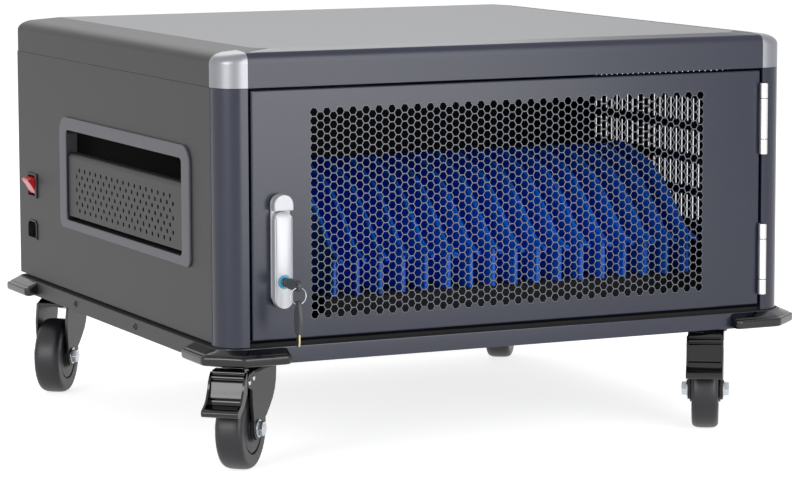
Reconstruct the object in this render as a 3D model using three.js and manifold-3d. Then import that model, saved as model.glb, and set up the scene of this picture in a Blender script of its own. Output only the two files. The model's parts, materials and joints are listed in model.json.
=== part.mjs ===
// Charging cabinet for tablets and laptops, on four swivel casters.
// Sizes are in millimetres. +X is to the right seen from the front, +Y runs into the cabinet, +Z is up.
// The floor is z = 0, and the door's face is the y = 0 plane until the whole model is centred.
import * as THREE from 'three';
import { mergeVertices } from 'three/addons/utils/BufferGeometryUtils.js';
import Module from 'manifold-3d';

const wasm = await Module();
wasm.setup();

// Cabinet box
const cabinetWidth = 600;
const cabinetDepth = 575;
const panelHeight = 236.7;
const sheet = 1.5;
const gap = 0.3;
const overrun = 2;
const cornerRadius = 24;
const baseBackRadius = 14;
const arcSteps = 5;
const weldTolerance = 1e-4;

// Base tray
const casterHeight = 102;
const baseHeight = 16;
const baseProud = 4;
const baseWall = 2;
const baseLip = 22;
const plinthInset = 5;
const plinthHeight = 3;
const baseScrewRadius = 3.2;
const baseScrewSink = 0.8;
const baseScrewPlaceShares = [0.38, 0.68];

// Side, back and front panels
const panelFlange = 14;
const postFace = 27;
const postSide = 28;
const postSheet = 2;
const postGroove = 0.8;
const postGrooveWidth = 2.4;
const strikeDepth = 18;
const strikeReach = 9;

// Lid
const lidHeight = 35;
const lidShoulder = 42;
const lidFrontRound = 15;
const lidBackRadius = 3;
const lidLevelShares = [0, 0.63, 0.78, 0.9, 0.955, 0.98, 1];
const lidShoulderShares = [0, 0, 0.06, 0.17, 0.32, 0.48, 1];
const lidFrontShares = [0, 0, 0.02, 0.12, 0.3, 0.58, 1];

// Vent slots of the right and back panels
const ventWidth = 4.4;
const ventHeight = 29;
const ventRowPitch = 35;
const ventColumnPitch = 43;
const ventFront = 72;
const ventBack = 150;
const ventBottom = 58;
const ventTop = 9;
const backVentColumns = 9;
const backVentColumnPitch = 26;
const backVentTop = 27.7;

// Side handle
const handleFront = 95.5;
const handleBack = 156.5;
const handleBottom = 73;
const handleOpeningHeight = 92.5;
const bezelProud = 2.5;
const bezelSideBorder = 20;
const bezelBottomBorder = 9;
const bezelTopBorder = 13;
const bezelTopRadius = 18;
const bezelBottomRadius = 8;
const collarDepth = 10;
const collarWall = 2;
const collarRadius = 5;
const gripTop = 69;
const gripBottom = 4.3;
const gripRoll = 13;
const gripLip = 7;
const gripHoleRadius = 3.2;
const gripHoleRows = 3;
const gripHoleMargin = 32;
const gripHoleRowPitch = 15;
const gripHoleColumnPitch = 28;

// Rocker switch
const switchBack = 44;
const switchHeight = 97.2;
const switchWidth = 30;
const switchTall = 26;
const switchProud = 2;
const switchWall = 1.4;
const switchDepth = 16;
const switchSideFrame = 5;
const switchEndFrame = 4;
const rockerPivotIn = 1;
const rockerPinRadius = 1.2;
const rockerPinReach = 1.1;
const rockerSideGap = 0.5;
const rockerSweep = 1.6;
const rockerOutShares = [0.82, 0.33, 0.14, -0.5, -0.6, -0.5];
const rockerUpShares = [1, 0, -1, -0.95, 0, 0.95];

// Mains inlet
const inletBack = 43;
const inletCentreHeight = 50.2;
const inletWidth = 28;
const inletTall = 20;
const inletProud = 1.5;
const inletWall = 0.7;
const inletShell = 1;
const inletDepth = 24;
const inletFloor = 3;
const inletChamfer = 4;
const inletPinLength = 12;
const inletPinThick = 2;
const inletPinTall = 4;
const inletPinPitch = 7;
const inletEarthRise = 3.6;

// Corner bumpers
const bumperOut = 13;
const bumperTall = 11.5;
const bumperRise = 0.5;
const bumperSideStart = 65;
const bumperFaceEnd = 60;
const bumperFrontTurn = [10, 27];
const bumperBackTurn = [3, 11];
const bumperBevel = 2.6;

// Bay tray, dividers and charging gear
const bayPitch = 24.4;
const bayLeftSpace = 138;
const bayRightSpace = 42;
const trayHeight = 25;
const trayFront = 82;
const trayBackSpace = 90;
const trayMargin = 14;
const dividerThick = 2.4;
const dividerFrontMargin = 8;
const dividerBackMargin = 10;
const dividerHeight = 120;
const dividerAlongShares = [0, 0, 0.04, 0.16, 0.28, 0.42, 0.57, 0.92, 1, 1];
const dividerUpShares = [0, 0.305, 0.4, 0.64, 0.83, 0.94, 1, 0.88, 0.72, 0];
const tabLength = 16;
const tabDepth = 5;
const tabPlaceShares = [0.15, 0.85];
const rearSpace = 135;
const bulkheadTopSpace = 31.4;
const bulkheadWindow = 52;
const bulkheadWindowTall = 26;
const bulkheadWindows = 4;
const bulkheadWindowRise = 34;
const chargerOverhang = 0.8;
const chargerBackSpace = 21.2;
const chargerTall = 74;
const chargerFoot = 3;
const chargerFootWidth = 12;

// Door
const doorSideGap = 2.6;
const doorBottomGap = 2.5;
const doorTopGap = 2.2;
const doorReturn = 15;
const grilleColumnPitch = 24.2;
const grilleRowPitch = 27.9;
const grilleWeb = 4.2;
const grilleLeftMargin = 48;
const grilleRightMargin = 52;
const grilleBottomMargin = 20;
const grilleTopMargin = 19.3;

// Hinges
const hingeTopInset = 47.4;
const hingeBottomInset = 46;
const hingeNames = ['upper', 'lower'];
const hingeEndKnuckle = 15;
const hingeMiddleKnuckle = 40;
const knuckleRadius = 4;
const knuckleClear = 0.6;
const hingePinRadius = 1.8;
const leafDepth = 13;

// Swing handle, lock and keys
const lockSide = 57;
const lockPlateBottom = 36;
const lockPlateTop = 139;
const lockPlateWidth = 19;
const lockPlateThick = 3;
const lockFront = 12;
const leverWidth = 18.4;
const leverBottom = 33.5;
const leverTop = 123.4;
const leverTurnHeight = 114.4;
const leverLiftHeight = 120.4;
const leverLiftOut = 6;
const leverNose = 4.2;
const leverHeel = 1.6;
const spindleRadius = 5;
const spindleLugWidth = 5;
const spindleEyeRadius = 2.1;
const spindlePinRadius = 1.2;
const spindlePinReach = 5.6;
const camThick = 3;
const camWidth = 12;
const camReach = 17;
const camDepth = 6;
const lockHeight = 58.3;
const lockRadius = 6;
const lockProud = 0.9;
const keyBladeTall = 7;
const keyBladeThick = 2;
const keyBladeLength = 7.5;
const keyNeck = 3;
const keyHeadLength = 32;
const keyHeadTall = 11;
const keyHeadThick = 3.6;
const keyEyeRadius = 2.6;
const keyEyeInset = 4.6;
const ringRadius = 7.8;
const ringWire = 0.8;
const ringSlack = 1.2;

// Casters
const wheelTopSpace = 9.2;
const wheelWidth = 27;
const wheelSideSpace = 1.5;
const wheelSides = 16;
const wheelRadiusShares = [0.34, 0.42, 0.66, 0.76, 1];
const wheelFaceShares = [0.5, 0.36, 0.36, 0.48, 0.32];
const casterTrail = 38;
const casterPlate = 64;
const casterPlateThick = 2.5;
const casterPlateRadius = 6;
const kingpinRadius = 8;
const kingpinHead = 11;
const kingpinHeadThick = 3;
const racewayRadius = 25;
const racewayTall = 9;
const forkWeb = 3;
const forkSheet = 2.5;
const forkBack = 27;
const forkFront = 48;
const forkBoss = 11;
const axleRadius = 5;
const nutRadius = 7.4;
const nutThick = 6.2;
const pedalPivotAhead = 60;
const pedalPivotDrop = 15;
const pedalPinRadius = 2.5;
const pedalEar = 7;
const pedalLength = 36;
const pedalTall = 41;
const pedalOverlap = 0.5;
const pedalAlongShares = [-0.16, 0.06, 0.28, 0.45, 0.56, 0.72, 0.98, 1.03, 0.95, 0.76, 0.5, 0.33, 0.2, 0.04, -0.14];
const pedalUpShares = [0.2, 0.27, 0.22, 0.03, -0.2, -0.42, -0.56, -0.63, -0.72, -0.66, -0.5, -0.32, -0.18, -0.17, -0.07];
const frontCasterInsetX = 54;
const frontCasterInsetY = 58;
const backCasterInset = 38;
const casterNames = ['front_left', 'front_right', 'back_left', 'back_right'];
const casterTurns = [228.5, 238.5, 232.5, 235.5];

// Levels and faces that several pieces share
const halfWidth = cabinetWidth / 2;
const baseBottom = casterHeight;
const baseTop = baseBottom + baseHeight;
const panelBottom = baseTop + plinthHeight;
const panelTop = panelBottom + panelHeight;
const lidBottom = panelTop + gap;
const baseFloor = baseBottom + baseWall;
const postEdge = halfWidth - postFace;
const doorHalf = postEdge - doorSideGap;
const doorBottom = panelBottom + doorBottomGap;
const doorTop = lidBottom - doorTopGap;
const hingeX = postEdge - doorSideGap / 2;
const hingeY = -(knuckleRadius + knuckleClear);
const leafThick = doorSideGap / 2 - 2 * gap;
const lockX = -halfWidth + lockSide;

// The handle's opening, the switch's rocker, the bays and the gear behind them
const handleLength = cabinetDepth - handleFront - handleBack;
const rockerWidth = switchWidth - 2 * switchSideFrame;
const rockerHalf = switchTall / 2 - switchEndFrame;
const trayTop = panelBottom + trayHeight;
const baysRoom = cabinetWidth - bayLeftSpace - bayRightSpace - 2 * trayMargin;
const bays = Math.floor(baysRoom / bayPitch);
const bayCentre = (bayLeftSpace - bayRightSpace) / 2;
const bulkheadFace = cabinetDepth - rearSpace;
const trayLength = bulkheadFace - trayBackSpace - trayFront;
const dividerFront = trayFront + dividerFrontMargin;
const dividerLength = trayLength - dividerFrontMargin - dividerBackMargin;
const chargerWidth = bays * bayPitch + 2 * chargerOverhang;
const chargerDepth = rearSpace - sheet - 2 * panelFlange - gap - chargerBackSpace;

// The casters: the wheel fills the fork, and the brake's pivot lies under the base
const forkCrownTop = baseBottom - casterPlateThick - gap - racewayTall;
const wheelRadius = (forkCrownTop - forkWeb - wheelTopSpace) / 2;
const forkInside = wheelWidth + 2 * wheelSideSpace;
const pedalPivotHeight = baseBottom - pedalPivotDrop;
const pedalWidth = forkInside + 2 * (forkSheet + pedalOverlap);

// Finishes: colour, roughness and metalness of each material
const finishes = {
  panelPaint: { color: 0x5b5c62, roughness: 0.45, metalness: 0.3 },
  doorPaint: { color: 0x50535d, roughness: 0.4, metalness: 0.3 },
  innerPaint: { color: 0x26272b, roughness: 0.6, metalness: 0.2 },
  silver: { color: 0xb4b6b9, roughness: 0.3, metalness: 0.8 },
  zinc: { color: 0xc3cad2, roughness: 0.3, metalness: 0.9 },
  hingeSteel: { color: 0xe2e3e4, roughness: 0.4, metalness: 0.5 },
  blackPlastic: { color: 0x18181b, roughness: 0.35, metalness: 0 },
  greyPlastic: { color: 0x44454b, roughness: 0.5, metalness: 0 },
  bluePlastic: { color: 0x1757b8, roughness: 0.4, metalness: 0 },
  redPlastic: { color: 0xc8182c, roughness: 0.35, metalness: 0 },
  cyanPlastic: { color: 0x39b6dd, roughness: 0.35, metalness: 0 },
  rubber: { color: 0x2b2c31, roughness: 0.75, metalness: 0 },
};

// Turn a three.js geometry into a closed solid that can be joined and cut
function solidOf(geometry) {
  geometry.deleteAttribute('normal');
  geometry.deleteAttribute('uv');
  const merged = mergeVertices(geometry, weldTolerance);
  const corners = merged.index.array;
  const kept = [];
  for (let i = 0; i < corners.length; i += 3) {
    const [a, b, c] = [corners[i], corners[i + 1], corners[i + 2]];
    if (a !== b && b !== c && c !== a) kept.push(a, b, c);
  }
  return new wasm.Manifold(new wasm.Mesh({
    numProp: 3,
    vertProperties: new Float32Array(merged.attributes.position.array),
    triVerts: new Uint32Array(kept),
  }));
}

// Turn a solid back into a geometry for a mesh
function geometryOf(solid) {
  const mesh = solid.getMesh();
  const geometry = new THREE.BufferGeometry();
  geometry.setAttribute('position', new THREE.BufferAttribute(mesh.vertProperties, 3));
  geometry.setIndex(new THREE.BufferAttribute(mesh.triVerts, 1));
  geometry.computeVertexNormals();
  return geometry;
}

// Extrude a flat shape along one axis, from a low to a high coordinate.
// Along x the shape lies in (y, z), along y in (x, z), along z in (x, y).
function extruded(shape, axis, low, high) {
  const geometry = new THREE.ExtrudeGeometry(shape, { depth: high - low, bevelEnabled: false });
  const right = new THREE.Vector3(1, 0, 0);
  const inward = new THREE.Vector3(0, 1, 0);
  const up = new THREE.Vector3(0, 0, 1);
  const place = new THREE.Matrix4();
  if (axis === 'x') place.makeBasis(inward, up, right).setPosition(low, 0, 0);
  else if (axis === 'y') place.makeBasis(right, up, inward.clone().negate()).setPosition(0, high, 0);
  else place.setPosition(0, 0, low);
  return solidOf(geometry.applyMatrix4(place));
}

// A polygon from a list of [a, b] points
function polygon(points) {
  return new THREE.Shape(points.map(([a, b]) => new THREE.Vector2(a, b)));
}

// A rectangle with one radius at its two low corners and another at its two high ones
function roundedRectangle(a0, a1, b0, b1, lowRadius, highRadius = lowRadius) {
  const corners = [
    [a0 + lowRadius, b0 + lowRadius, lowRadius, 2],
    [a1 - lowRadius, b0 + lowRadius, lowRadius, 3],
    [a1 - highRadius, b1 - highRadius, highRadius, 0],
    [a0 + highRadius, b1 - highRadius, highRadius, 1],
  ];
  const points = [];
  for (const [a, b, radius, quarter] of corners) {
    const steps = Math.max(2, Math.round(arcSteps * Math.sqrt(radius / cornerRadius)));
    for (let i = 0; i <= steps; i += 1) {
      const angle = (Math.PI / 2) * (quarter + i / steps);
      points.push([a + radius * Math.cos(angle), b + radius * Math.sin(angle)]);
    }
  }
  return polygon(points);
}

// A regular polygon with a corner at the given turn, used for rounds and hexagons
function ngon(a, b, radius, sides, turn = 0) {
  const points = [];
  for (let i = 0; i < sides; i += 1) {
    const angle = turn + (2 * Math.PI * i) / sides;
    points.push([a + radius * Math.cos(angle), b + radius * Math.sin(angle)]);
  }
  return polygon(points);
}

// A round hole for a shaft that turns in it: its flats keep a gap to the shaft
function boreRound(a, b, shaftRadius, sides) {
  return ngon(a, b, (shaftRadius + gap) / Math.cos(Math.PI / sides), sides);
}

// A box between two corners
function block(x0, x1, y0, y1, z0, z1) {
  return extruded(polygon([[x0, y0], [x1, y0], [x1, y1], [x0, y1]]), 'z', z0, z1);
}

// Join a list of solids, and cut a list of solids from one
function joined(solids) {
  return solids.reduce((sum, solid) => sum.add(solid));
}

function without(solid, cuts) {
  return cuts.length ? solid.subtract(joined(cuts)) : solid;
}

// A closed loft through rings that all have the same number of points
function lofted(rings) {
  const count = rings[0].length;
  const positions = rings.flat(2);
  const index = [];
  for (let ring = 0; ring + 1 < rings.length; ring += 1) {
    for (let i = 0; i < count; i += 1) {
      const a = ring * count + i;
      const b = ring * count + ((i + 1) % count);
      index.push(a, b, b + count, a, b + count, a + count);
    }
  }
  const last = (rings.length - 1) * count;
  for (let i = 1; i + 1 < count; i += 1) {
    index.push(0, i + 1, i, last, last + i, last + i + 1);
  }
  const geometry = new THREE.BufferGeometry();
  geometry.setAttribute('position', new THREE.Float32BufferAttribute(positions, 3));
  geometry.setIndex(index);
  return solidOf(geometry);
}

// A named mesh with its own material
function piece(name, solid, finish) {
  const mesh = new THREE.Mesh(geometryOf(solid), new THREE.MeshStandardMaterial(finish));
  mesh.name = name;
  return mesh;
}

function grouped(...members) {
  const group = new THREE.Group();
  group.add(...members);
  return group;
}

// Plan outline of the cabinet, grown outwards by an offset
function planOutline(offset, frontRadius, backRadius) {
  return roundedRectangle(
    -halfWidth - offset, halfWidth + offset,
    -offset, cabinetDepth + offset,
    frontRadius, backRadius,
  );
}

// Where the four casters stand, in the order of their names
function casterPlaces() {
  const frontX = halfWidth - frontCasterInsetX;
  const backX = halfWidth - backCasterInset;
  const backY = cabinetDepth - backCasterInset;
  return [
    [-frontX, frontCasterInsetY],
    [frontX, frontCasterInsetY],
    [-backX, backY],
    [backX, backY],
  ];
}

// Caster top plate with the riveted kingpin, which belongs to the base it is bolted to
function casterMount(x, y) {
  const half = casterPlate / 2;
  const plateBottom = baseBottom - casterPlateThick;
  const webBottom = plateBottom - gap - racewayTall - forkWeb;
  const headTop = webBottom - gap;
  const plate = roundedRectangle(x - half, x + half, y - half, y + half, casterPlateRadius);
  return joined([
    extruded(plate, 'z', plateBottom, baseBottom + baseWall / 2),
    extruded(ngon(x, y, kingpinRadius, 10), 'z', headTop - kingpinHeadThick / 2, plateBottom + gap),
    extruded(ngon(x, y, kingpinHead, 10), 'z', headTop - kingpinHeadThick, headTop),
  ]);
}

function baseTray() {
  const outer = extruded(planOutline(baseProud, cornerRadius + baseProud, baseBackRadius), 'z', baseBottom, baseTop);
  const plinthRadius = cornerRadius - plinthInset;
  const plinthBackRadius = baseBackRadius - baseProud - plinthInset;
  const plinthTop = panelBottom - gap;
  const plinth = extruded(planOutline(-plinthInset, plinthRadius, plinthBackRadius), 'z', baseBottom, plinthTop);
  const pocketOffset = baseProud - baseWall;
  const pocketRadius = cornerRadius + pocketOffset;
  const pocketBackRadius = baseBackRadius - baseWall;
  const pocket = extruded(planOutline(pocketOffset, pocketRadius, pocketBackRadius), 'z', baseFloor, baseTop - baseWall);
  const mouthOffset = baseProud - baseLip;
  const mouth = extruded(planOutline(mouthOffset, postSheet, postSheet), 'z', baseFloor, plinthTop + overrun);
  const skirtMiddle = baseBottom + baseHeight / 2;
  const outside = halfWidth + baseProud;
  const screwCuts = [];
  for (const share of baseScrewPlaceShares) {
    const head = ngon(share * cabinetDepth, skirtMiddle, baseScrewRadius, 8);
    screwCuts.push(extruded(head, 'x', -outside - overrun, -outside + baseScrewSink));
    screwCuts.push(extruded(head, 'x', outside - baseScrewSink, outside + overrun));
  }
  const tray = without(joined([outer, plinth]), [pocket, mouth, ...screwCuts]);
  return joined([tray, ...casterPlaces().map(([x, y]) => casterMount(x, y))]);
}

// Folded sheet that stands on the base along one side, with a flange top and bottom
function sidePanelBlank(side) {
  const outerFace = side * halfWidth;
  const innerFace = side * (halfWidth - sheet);
  const flangeEdge = side * (halfWidth - panelFlange);
  const profile = polygon([
    [outerFace, panelBottom], [outerFace, panelTop],
    [flangeEdge, panelTop], [flangeEdge, panelTop - sheet],
    [innerFace, panelTop - sheet], [innerFace, panelBottom + sheet],
    [flangeEdge, panelBottom + sheet], [flangeEdge, panelBottom],
  ]);
  return extruded(profile, 'y', postSide + gap, cabinetDepth - sheet - gap);
}

// Opening that the handle's collar passes through, grown by an offset
function handleOpening(offset, radius) {
  return roundedRectangle(
    handleFront - offset, handleFront + handleLength + offset,
    panelBottom + handleBottom - offset,
    panelBottom + handleBottom + handleOpeningHeight + offset,
    radius,
  );
}

// Rectangle in (y, z) around a fitting near the back edge of the left side
function fittingOutline(back, width, height, tall) {
  const middle = cabinetDepth - back;
  const level = panelBottom + height;
  return [middle - width / 2, middle + width / 2, level - tall / 2, level + tall / 2];
}

function switchOutline(offset) {
  const [a0, a1, b0, b1] = fittingOutline(switchBack, switchWidth, switchHeight, switchTall);
  return polygon([
    [a0 + offset, b0 + offset], [a1 - offset, b0 + offset],
    [a1 - offset, b1 - offset], [a0 + offset, b1 - offset],
  ]);
}

// The inlet's outline has its two upper corners cut off, so that a plug fits only one way up
function inletOutline(offset, chamfer) {
  const [a0, a1, b0, b1] = fittingOutline(inletBack, inletWidth, inletCentreHeight, inletTall);
  return polygon([
    [a0 + offset, b0 + offset], [a1 - offset, b0 + offset],
    [a1 - offset, b1 - offset - chamfer], [a1 - offset - chamfer, b1 - offset],
    [a0 + offset + chamfer, b1 - offset], [a0 + offset, b1 - offset - chamfer],
  ]);
}

function leftSidePanel() {
  const low = -halfWidth - overrun;
  const high = -halfWidth + sheet + overrun;
  return without(sidePanelBlank(-1), [
    extruded(handleOpening(collarWall + gap, collarRadius + collarWall), 'x', low, high),
    extruded(switchOutline(switchWall - gap), 'x', low, high),
    extruded(inletOutline(inletWall - gap, inletChamfer), 'x', low, high),
  ]);
}

function rightSidePanel() {
  const slots = [];
  const rows = Math.floor((panelHeight - ventBottom - ventTop - ventHeight) / ventRowPitch) + 1;
  const columns = Math.floor((cabinetDepth - ventFront - ventBack - ventWidth) / ventColumnPitch) + 1;
  for (let row = 0; row < rows; row += 1) {
    for (let column = 0; column < columns; column += 1) {
      const y = ventFront + column * ventColumnPitch;
      const z = panelBottom + ventBottom + row * ventRowPitch;
      slots.push(block(
        halfWidth - sheet - overrun, halfWidth + overrun,
        y, y + ventWidth, z, z + ventHeight,
      ));
    }
  }
  return without(sidePanelBlank(1), slots);
}

function backPanel() {
  const inner = cabinetDepth - sheet;
  const flangeEdge = cabinetDepth - panelFlange;
  const profile = polygon([
    [cabinetDepth, panelBottom], [cabinetDepth, panelTop],
    [flangeEdge, panelTop], [flangeEdge, panelTop - sheet],
    [inner, panelTop - sheet], [inner, panelBottom + sheet],
    [flangeEdge, panelBottom + sheet], [flangeEdge, panelBottom],
  ]);
  const half = halfWidth - panelFlange - gap;
  const wide = block(-halfWidth, halfWidth, inner, cabinetDepth, panelBottom, panelTop);
  const slots = [];
  for (let column = 0; column < backVentColumns; column += 1) {
    const x = (column - (backVentColumns - 1) / 2) * backVentColumnPitch;
    const top = panelTop - backVentTop;
    slots.push(block(
      x - ventWidth / 2, x + ventWidth / 2,
      inner - overrun, cabinetDepth + overrun, top - ventHeight, top,
    ));
  }
  return without(joined([extruded(profile, 'x', -half, half), wide]), slots);
}

// Rolled corner post: round outside with two shallow flutes, a return beside the door,
// and a stop flange that the closed door's return comes up to
function frontPost(side) {
  const outer = [];
  const inner = [];
  const innerRadius = cornerRadius - postSheet;
  for (let i = 0; i <= arcSteps; i += 1) {
    const angle = (Math.PI / 2) * (i / arcSteps);
    const [across, along] = [Math.cos(angle), Math.sin(angle)];
    outer.push([halfWidth - cornerRadius + cornerRadius * across, cornerRadius - cornerRadius * along]);
    inner.unshift([halfWidth - cornerRadius + innerRadius * across, cornerRadius - innerRadius * along]);
  }
  const flute = postGrooveWidth / 2;
  const fluteMiddle = postSide - postGrooveWidth;
  const points = [
    [halfWidth, postSide],
    [halfWidth, fluteMiddle + flute],
    [halfWidth - postGroove, fluteMiddle],
    [halfWidth, fluteMiddle - flute + gap],
    ...outer,
    [postEdge, 0],
    [postEdge, strikeDepth],
    [postEdge - strikeReach, strikeDepth],
    [postEdge - strikeReach, strikeDepth + postSheet],
    [postEdge + postSheet, strikeDepth + postSheet],
    [postEdge + postSheet, postSheet],
    ...inner,
    [halfWidth - postSheet, postSide],
  ];
  return extruded(polygon(points.map(([x, y]) => [side * x, y])), 'z', panelBottom, panelTop);
}

// One level ring of the lid, as points anticlockwise seen from above
function lidRing(sideInset, frontInset, offset, level) {
  const x1 = halfWidth - sideInset - offset;
  const y0 = frontInset + offset;
  const y1 = cabinetDepth - frontInset - offset;
  const corners = [
    [x1, y0, cornerRadius - offset, -1],
    [x1, y1, lidBackRadius, 0],
    [-x1, y1, lidBackRadius, 1],
    [-x1, y0, cornerRadius - offset, 2],
  ];
  const points = [];
  for (const [x, y, radius, quarter] of corners) {
    const cx = x - Math.sign(x) * radius;
    const cy = y + (y === y0 ? radius : -radius);
    const steps = y === y0 ? arcSteps : 1;
    for (let i = 0; i <= steps; i += 1) {
      const angle = (Math.PI / 2) * (quarter + i / steps);
      points.push([cx + radius * Math.cos(angle), cy + radius * Math.sin(angle), level]);
    }
  }
  return points;
}

// The lid's crowned outside, or with an offset its hollow
function lidForm(offset, bottom) {
  const height = lidHeight - offset;
  return lofted(lidLevelShares.map((share, i) => lidRing(
    lidShoulder * lidShoulderShares[i],
    lidFrontRound * lidFrontShares[i],
    offset,
    i === 0 ? bottom : lidBottom + share * height,
  )));
}

function lidShell() {
  return lidForm(0, lidBottom).subtract(lidForm(sheet, lidBottom - overrun));
}

// Space of the lid's corner above one post, which the bright corner cap fills
function capSpace(side, clearance) {
  const edge = postEdge - clearance;
  const outside = halfWidth + overrun;
  return block(
    Math.min(side * edge, side * outside), Math.max(side * edge, side * outside),
    -overrun, postSide + clearance,
    lidBottom - overrun, lidBottom + lidHeight + overrun,
  );
}

function lid() {
  return without(lidShell(), [capSpace(-1, gap), capSpace(1, gap)]);
}

function lidCap(side) {
  return lidShell().intersect(capSpace(side, 0));
}

// Raised frame round the side handle, with a collar that passes through the panel
function handleBezel() {
  const a0 = handleFront - bezelSideBorder;
  const a1 = handleFront + handleLength + bezelSideBorder;
  const b0 = panelBottom + handleBottom - bezelBottomBorder;
  const b1 = panelBottom + handleBottom + handleOpeningHeight + bezelTopBorder;
  const face = roundedRectangle(a0, a1, b0, b1, bezelBottomRadius, bezelTopRadius);
  const outerFace = -halfWidth - bezelProud;
  const collarEnd = -halfWidth + collarDepth;
  const frame = joined([
    extruded(face, 'x', outerFace, -halfWidth - gap),
    extruded(handleOpening(collarWall, collarRadius + collarWall), 'x', -halfWidth - bezelProud / 2, collarEnd),
  ]);
  return frame.subtract(extruded(handleOpening(0, collarRadius), 'x', outerFace - overrun, collarEnd + overrun));
}

// Perforated plate inside the bezel: its rolled upper edge is what the fingers hold
function handleGripPlate() {
  const outer = -halfWidth;
  const bottom = panelBottom + handleBottom + gripBottom;
  const top = panelBottom + handleBottom + gripTop;
  const profile = polygon([
    [outer, bottom], [outer, top],
    [outer + gripRoll, top], [outer + gripRoll, top - gripLip],
    [outer + gripRoll - sheet, top - gripLip], [outer + gripRoll - sheet, top - sheet],
    [outer + sheet, top - sheet], [outer + sheet, bottom],
  ]);
  const front = handleFront + gap;
  const back = handleFront + handleLength - gap;
  const holes = [];
  const middleY = (front + back) / 2;
  const middleZ = (bottom + top) / 2;
  const columns = Math.floor((back - front - 2 * gripHoleMargin) / gripHoleColumnPitch) + 1;
  for (let row = 0; row < gripHoleRows; row += 1) {
    const stagger = (row % 2) / 2;
    for (let column = 0; column < columns - (row % 2); column += 1) {
      const y = middleY + (column + stagger - (columns - 1) / 2) * gripHoleColumnPitch;
      const z = middleZ + (row - (gripHoleRows - 1) / 2) * gripHoleRowPitch;
      holes.push(extruded(ngon(y, z, gripHoleRadius, 6), 'x', outer - overrun, outer + sheet + overrun));
    }
  }
  return without(extruded(profile, 'y', front, back), holes);
}

// Rectangle round the switch's middle, from half a width and half a height
function switchRectangle(halfAcross, halfTall) {
  const middle = cabinetDepth - switchBack;
  const level = panelBottom + switchHeight;
  return polygon([
    [middle - halfAcross, level - halfTall], [middle + halfAcross, level - halfTall],
    [middle + halfAcross, level + halfTall], [middle - halfAcross, level + halfTall],
  ]);
}

// Switch body: a frame on the panel's face and an open box behind it
function switchHousing() {
  const outerFace = -halfWidth - switchProud;
  const bodyEnd = -halfWidth + switchDepth;
  const body = joined([
    extruded(switchOutline(0), 'x', outerFace, -halfWidth - gap),
    extruded(switchOutline(switchWall), 'x', outerFace, bodyEnd),
  ]);
  const middle = cabinetDepth - switchBack;
  const cavityHalf = rockerWidth / 2 + rockerSideGap;
  const pinEnd = cavityHalf + rockerPinReach + gap;
  const cavity = switchRectangle(cavityHalf, rockerHalf + rockerSweep);
  const pinHole = boreRound(-halfWidth + rockerPivotIn, panelBottom + switchHeight, rockerPinRadius, 8);
  return without(body, [
    extruded(cavity, 'x', outerFace - overrun, bodyEnd - sheet),
    extruded(pinHole, 'y', middle - pinEnd, middle + pinEnd),
  ]);
}

// Rocker with its two pivot pins, resting with the upper half out
function rocker() {
  const middle = cabinetDepth - switchBack;
  const level = panelBottom + switchHeight;
  const pinEnd = rockerWidth / 2 + rockerSideGap + rockerPinReach;
  const outline = rockerOutShares.map((out, i) => [
    -halfWidth + rockerPivotIn - out * rockerHalf, level + rockerUpShares[i] * rockerHalf,
  ]);
  const pin = ngon(-halfWidth + rockerPivotIn, level, rockerPinRadius, 8);
  return joined([
    extruded(polygon(outline), 'y', middle - rockerWidth / 2, middle + rockerWidth / 2),
    extruded(pin, 'y', middle - pinEnd, middle + pinEnd),
  ]);
}

function powerInlet() {
  const outerFace = -halfWidth - inletProud;
  const bodyEnd = -halfWidth + inletDepth;
  const cavityEnd = bodyEnd - inletFloor;
  const shell = joined([
    extruded(inletOutline(0, inletChamfer), 'x', outerFace, -halfWidth - gap),
    extruded(inletOutline(inletWall, inletChamfer), 'x', outerFace, bodyEnd),
  ]);
  const wall = inletWall + inletShell;
  const cavity = extruded(inletOutline(wall, inletChamfer - gap), 'x', outerFace - overrun, cavityEnd);
  const middle = cabinetDepth - inletBack;
  const level = panelBottom + inletCentreHeight - inletEarthRise / 2;
  const pins = [-1, 0, 1].map((place) => {
    const y = middle + place * inletPinPitch;
    const z = level + (place === 0 ? inletEarthRise : 0);
    return block(
      cavityEnd - inletPinLength, cavityEnd + inletFloor / 2,
      y - inletPinThick / 2, y + inletPinThick / 2,
      z - inletPinTall / 2, z + inletPinTall / 2,
    );
  });
  return joined([shell.subtract(cavity), ...pins]);
}

// Corner bumper: three straight lengths round the base's corner, bevelled all round
function bumper(sideX, atBack) {
  const skirt = baseProud + gap;
  const out = skirt + bumperOut;
  const radius = atBack ? baseBackRadius : cornerRadius + baseProud;
  const [sideEnd, faceStart] = atBack ? bumperBackTurn : bumperFrontTurn;
  const bend = [];
  for (let i = 0; i <= arcSteps; i += 1) {
    const angle = (Math.PI / 2) * (i / arcSteps);
    bend.push([
      halfWidth + skirt - radius + radius * Math.sin(angle),
      -skirt + radius - radius * Math.cos(angle),
    ]);
  }
  const points = [
    [halfWidth + skirt, bumperSideStart],
    [halfWidth + out, bumperSideStart],
    [halfWidth + out, sideEnd],
    [halfWidth - faceStart, -out],
    [halfWidth - bumperFaceEnd, -out],
    [halfWidth - bumperFaceEnd, -skirt],
    ...bend,
  ];
  const shape = polygon(points.map(([x, y]) => [sideX * x, atBack ? cabinetDepth - y : y]));
  const geometry = new THREE.ExtrudeGeometry(shape, {
    depth: bumperTall - 2 * bumperBevel,
    bevelThickness: bumperBevel,
    bevelSize: bumperBevel,
    bevelOffset: -bumperBevel,
    bevelSegments: 1,
  });
  geometry.translate(0, 0, baseBottom + bumperRise + bumperBevel);
  return solidOf(geometry);
}

// Middle of divider number i, counted from the left
function dividerX(i) {
  return bayCentre + (i - bays / 2) * bayPitch;
}

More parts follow.
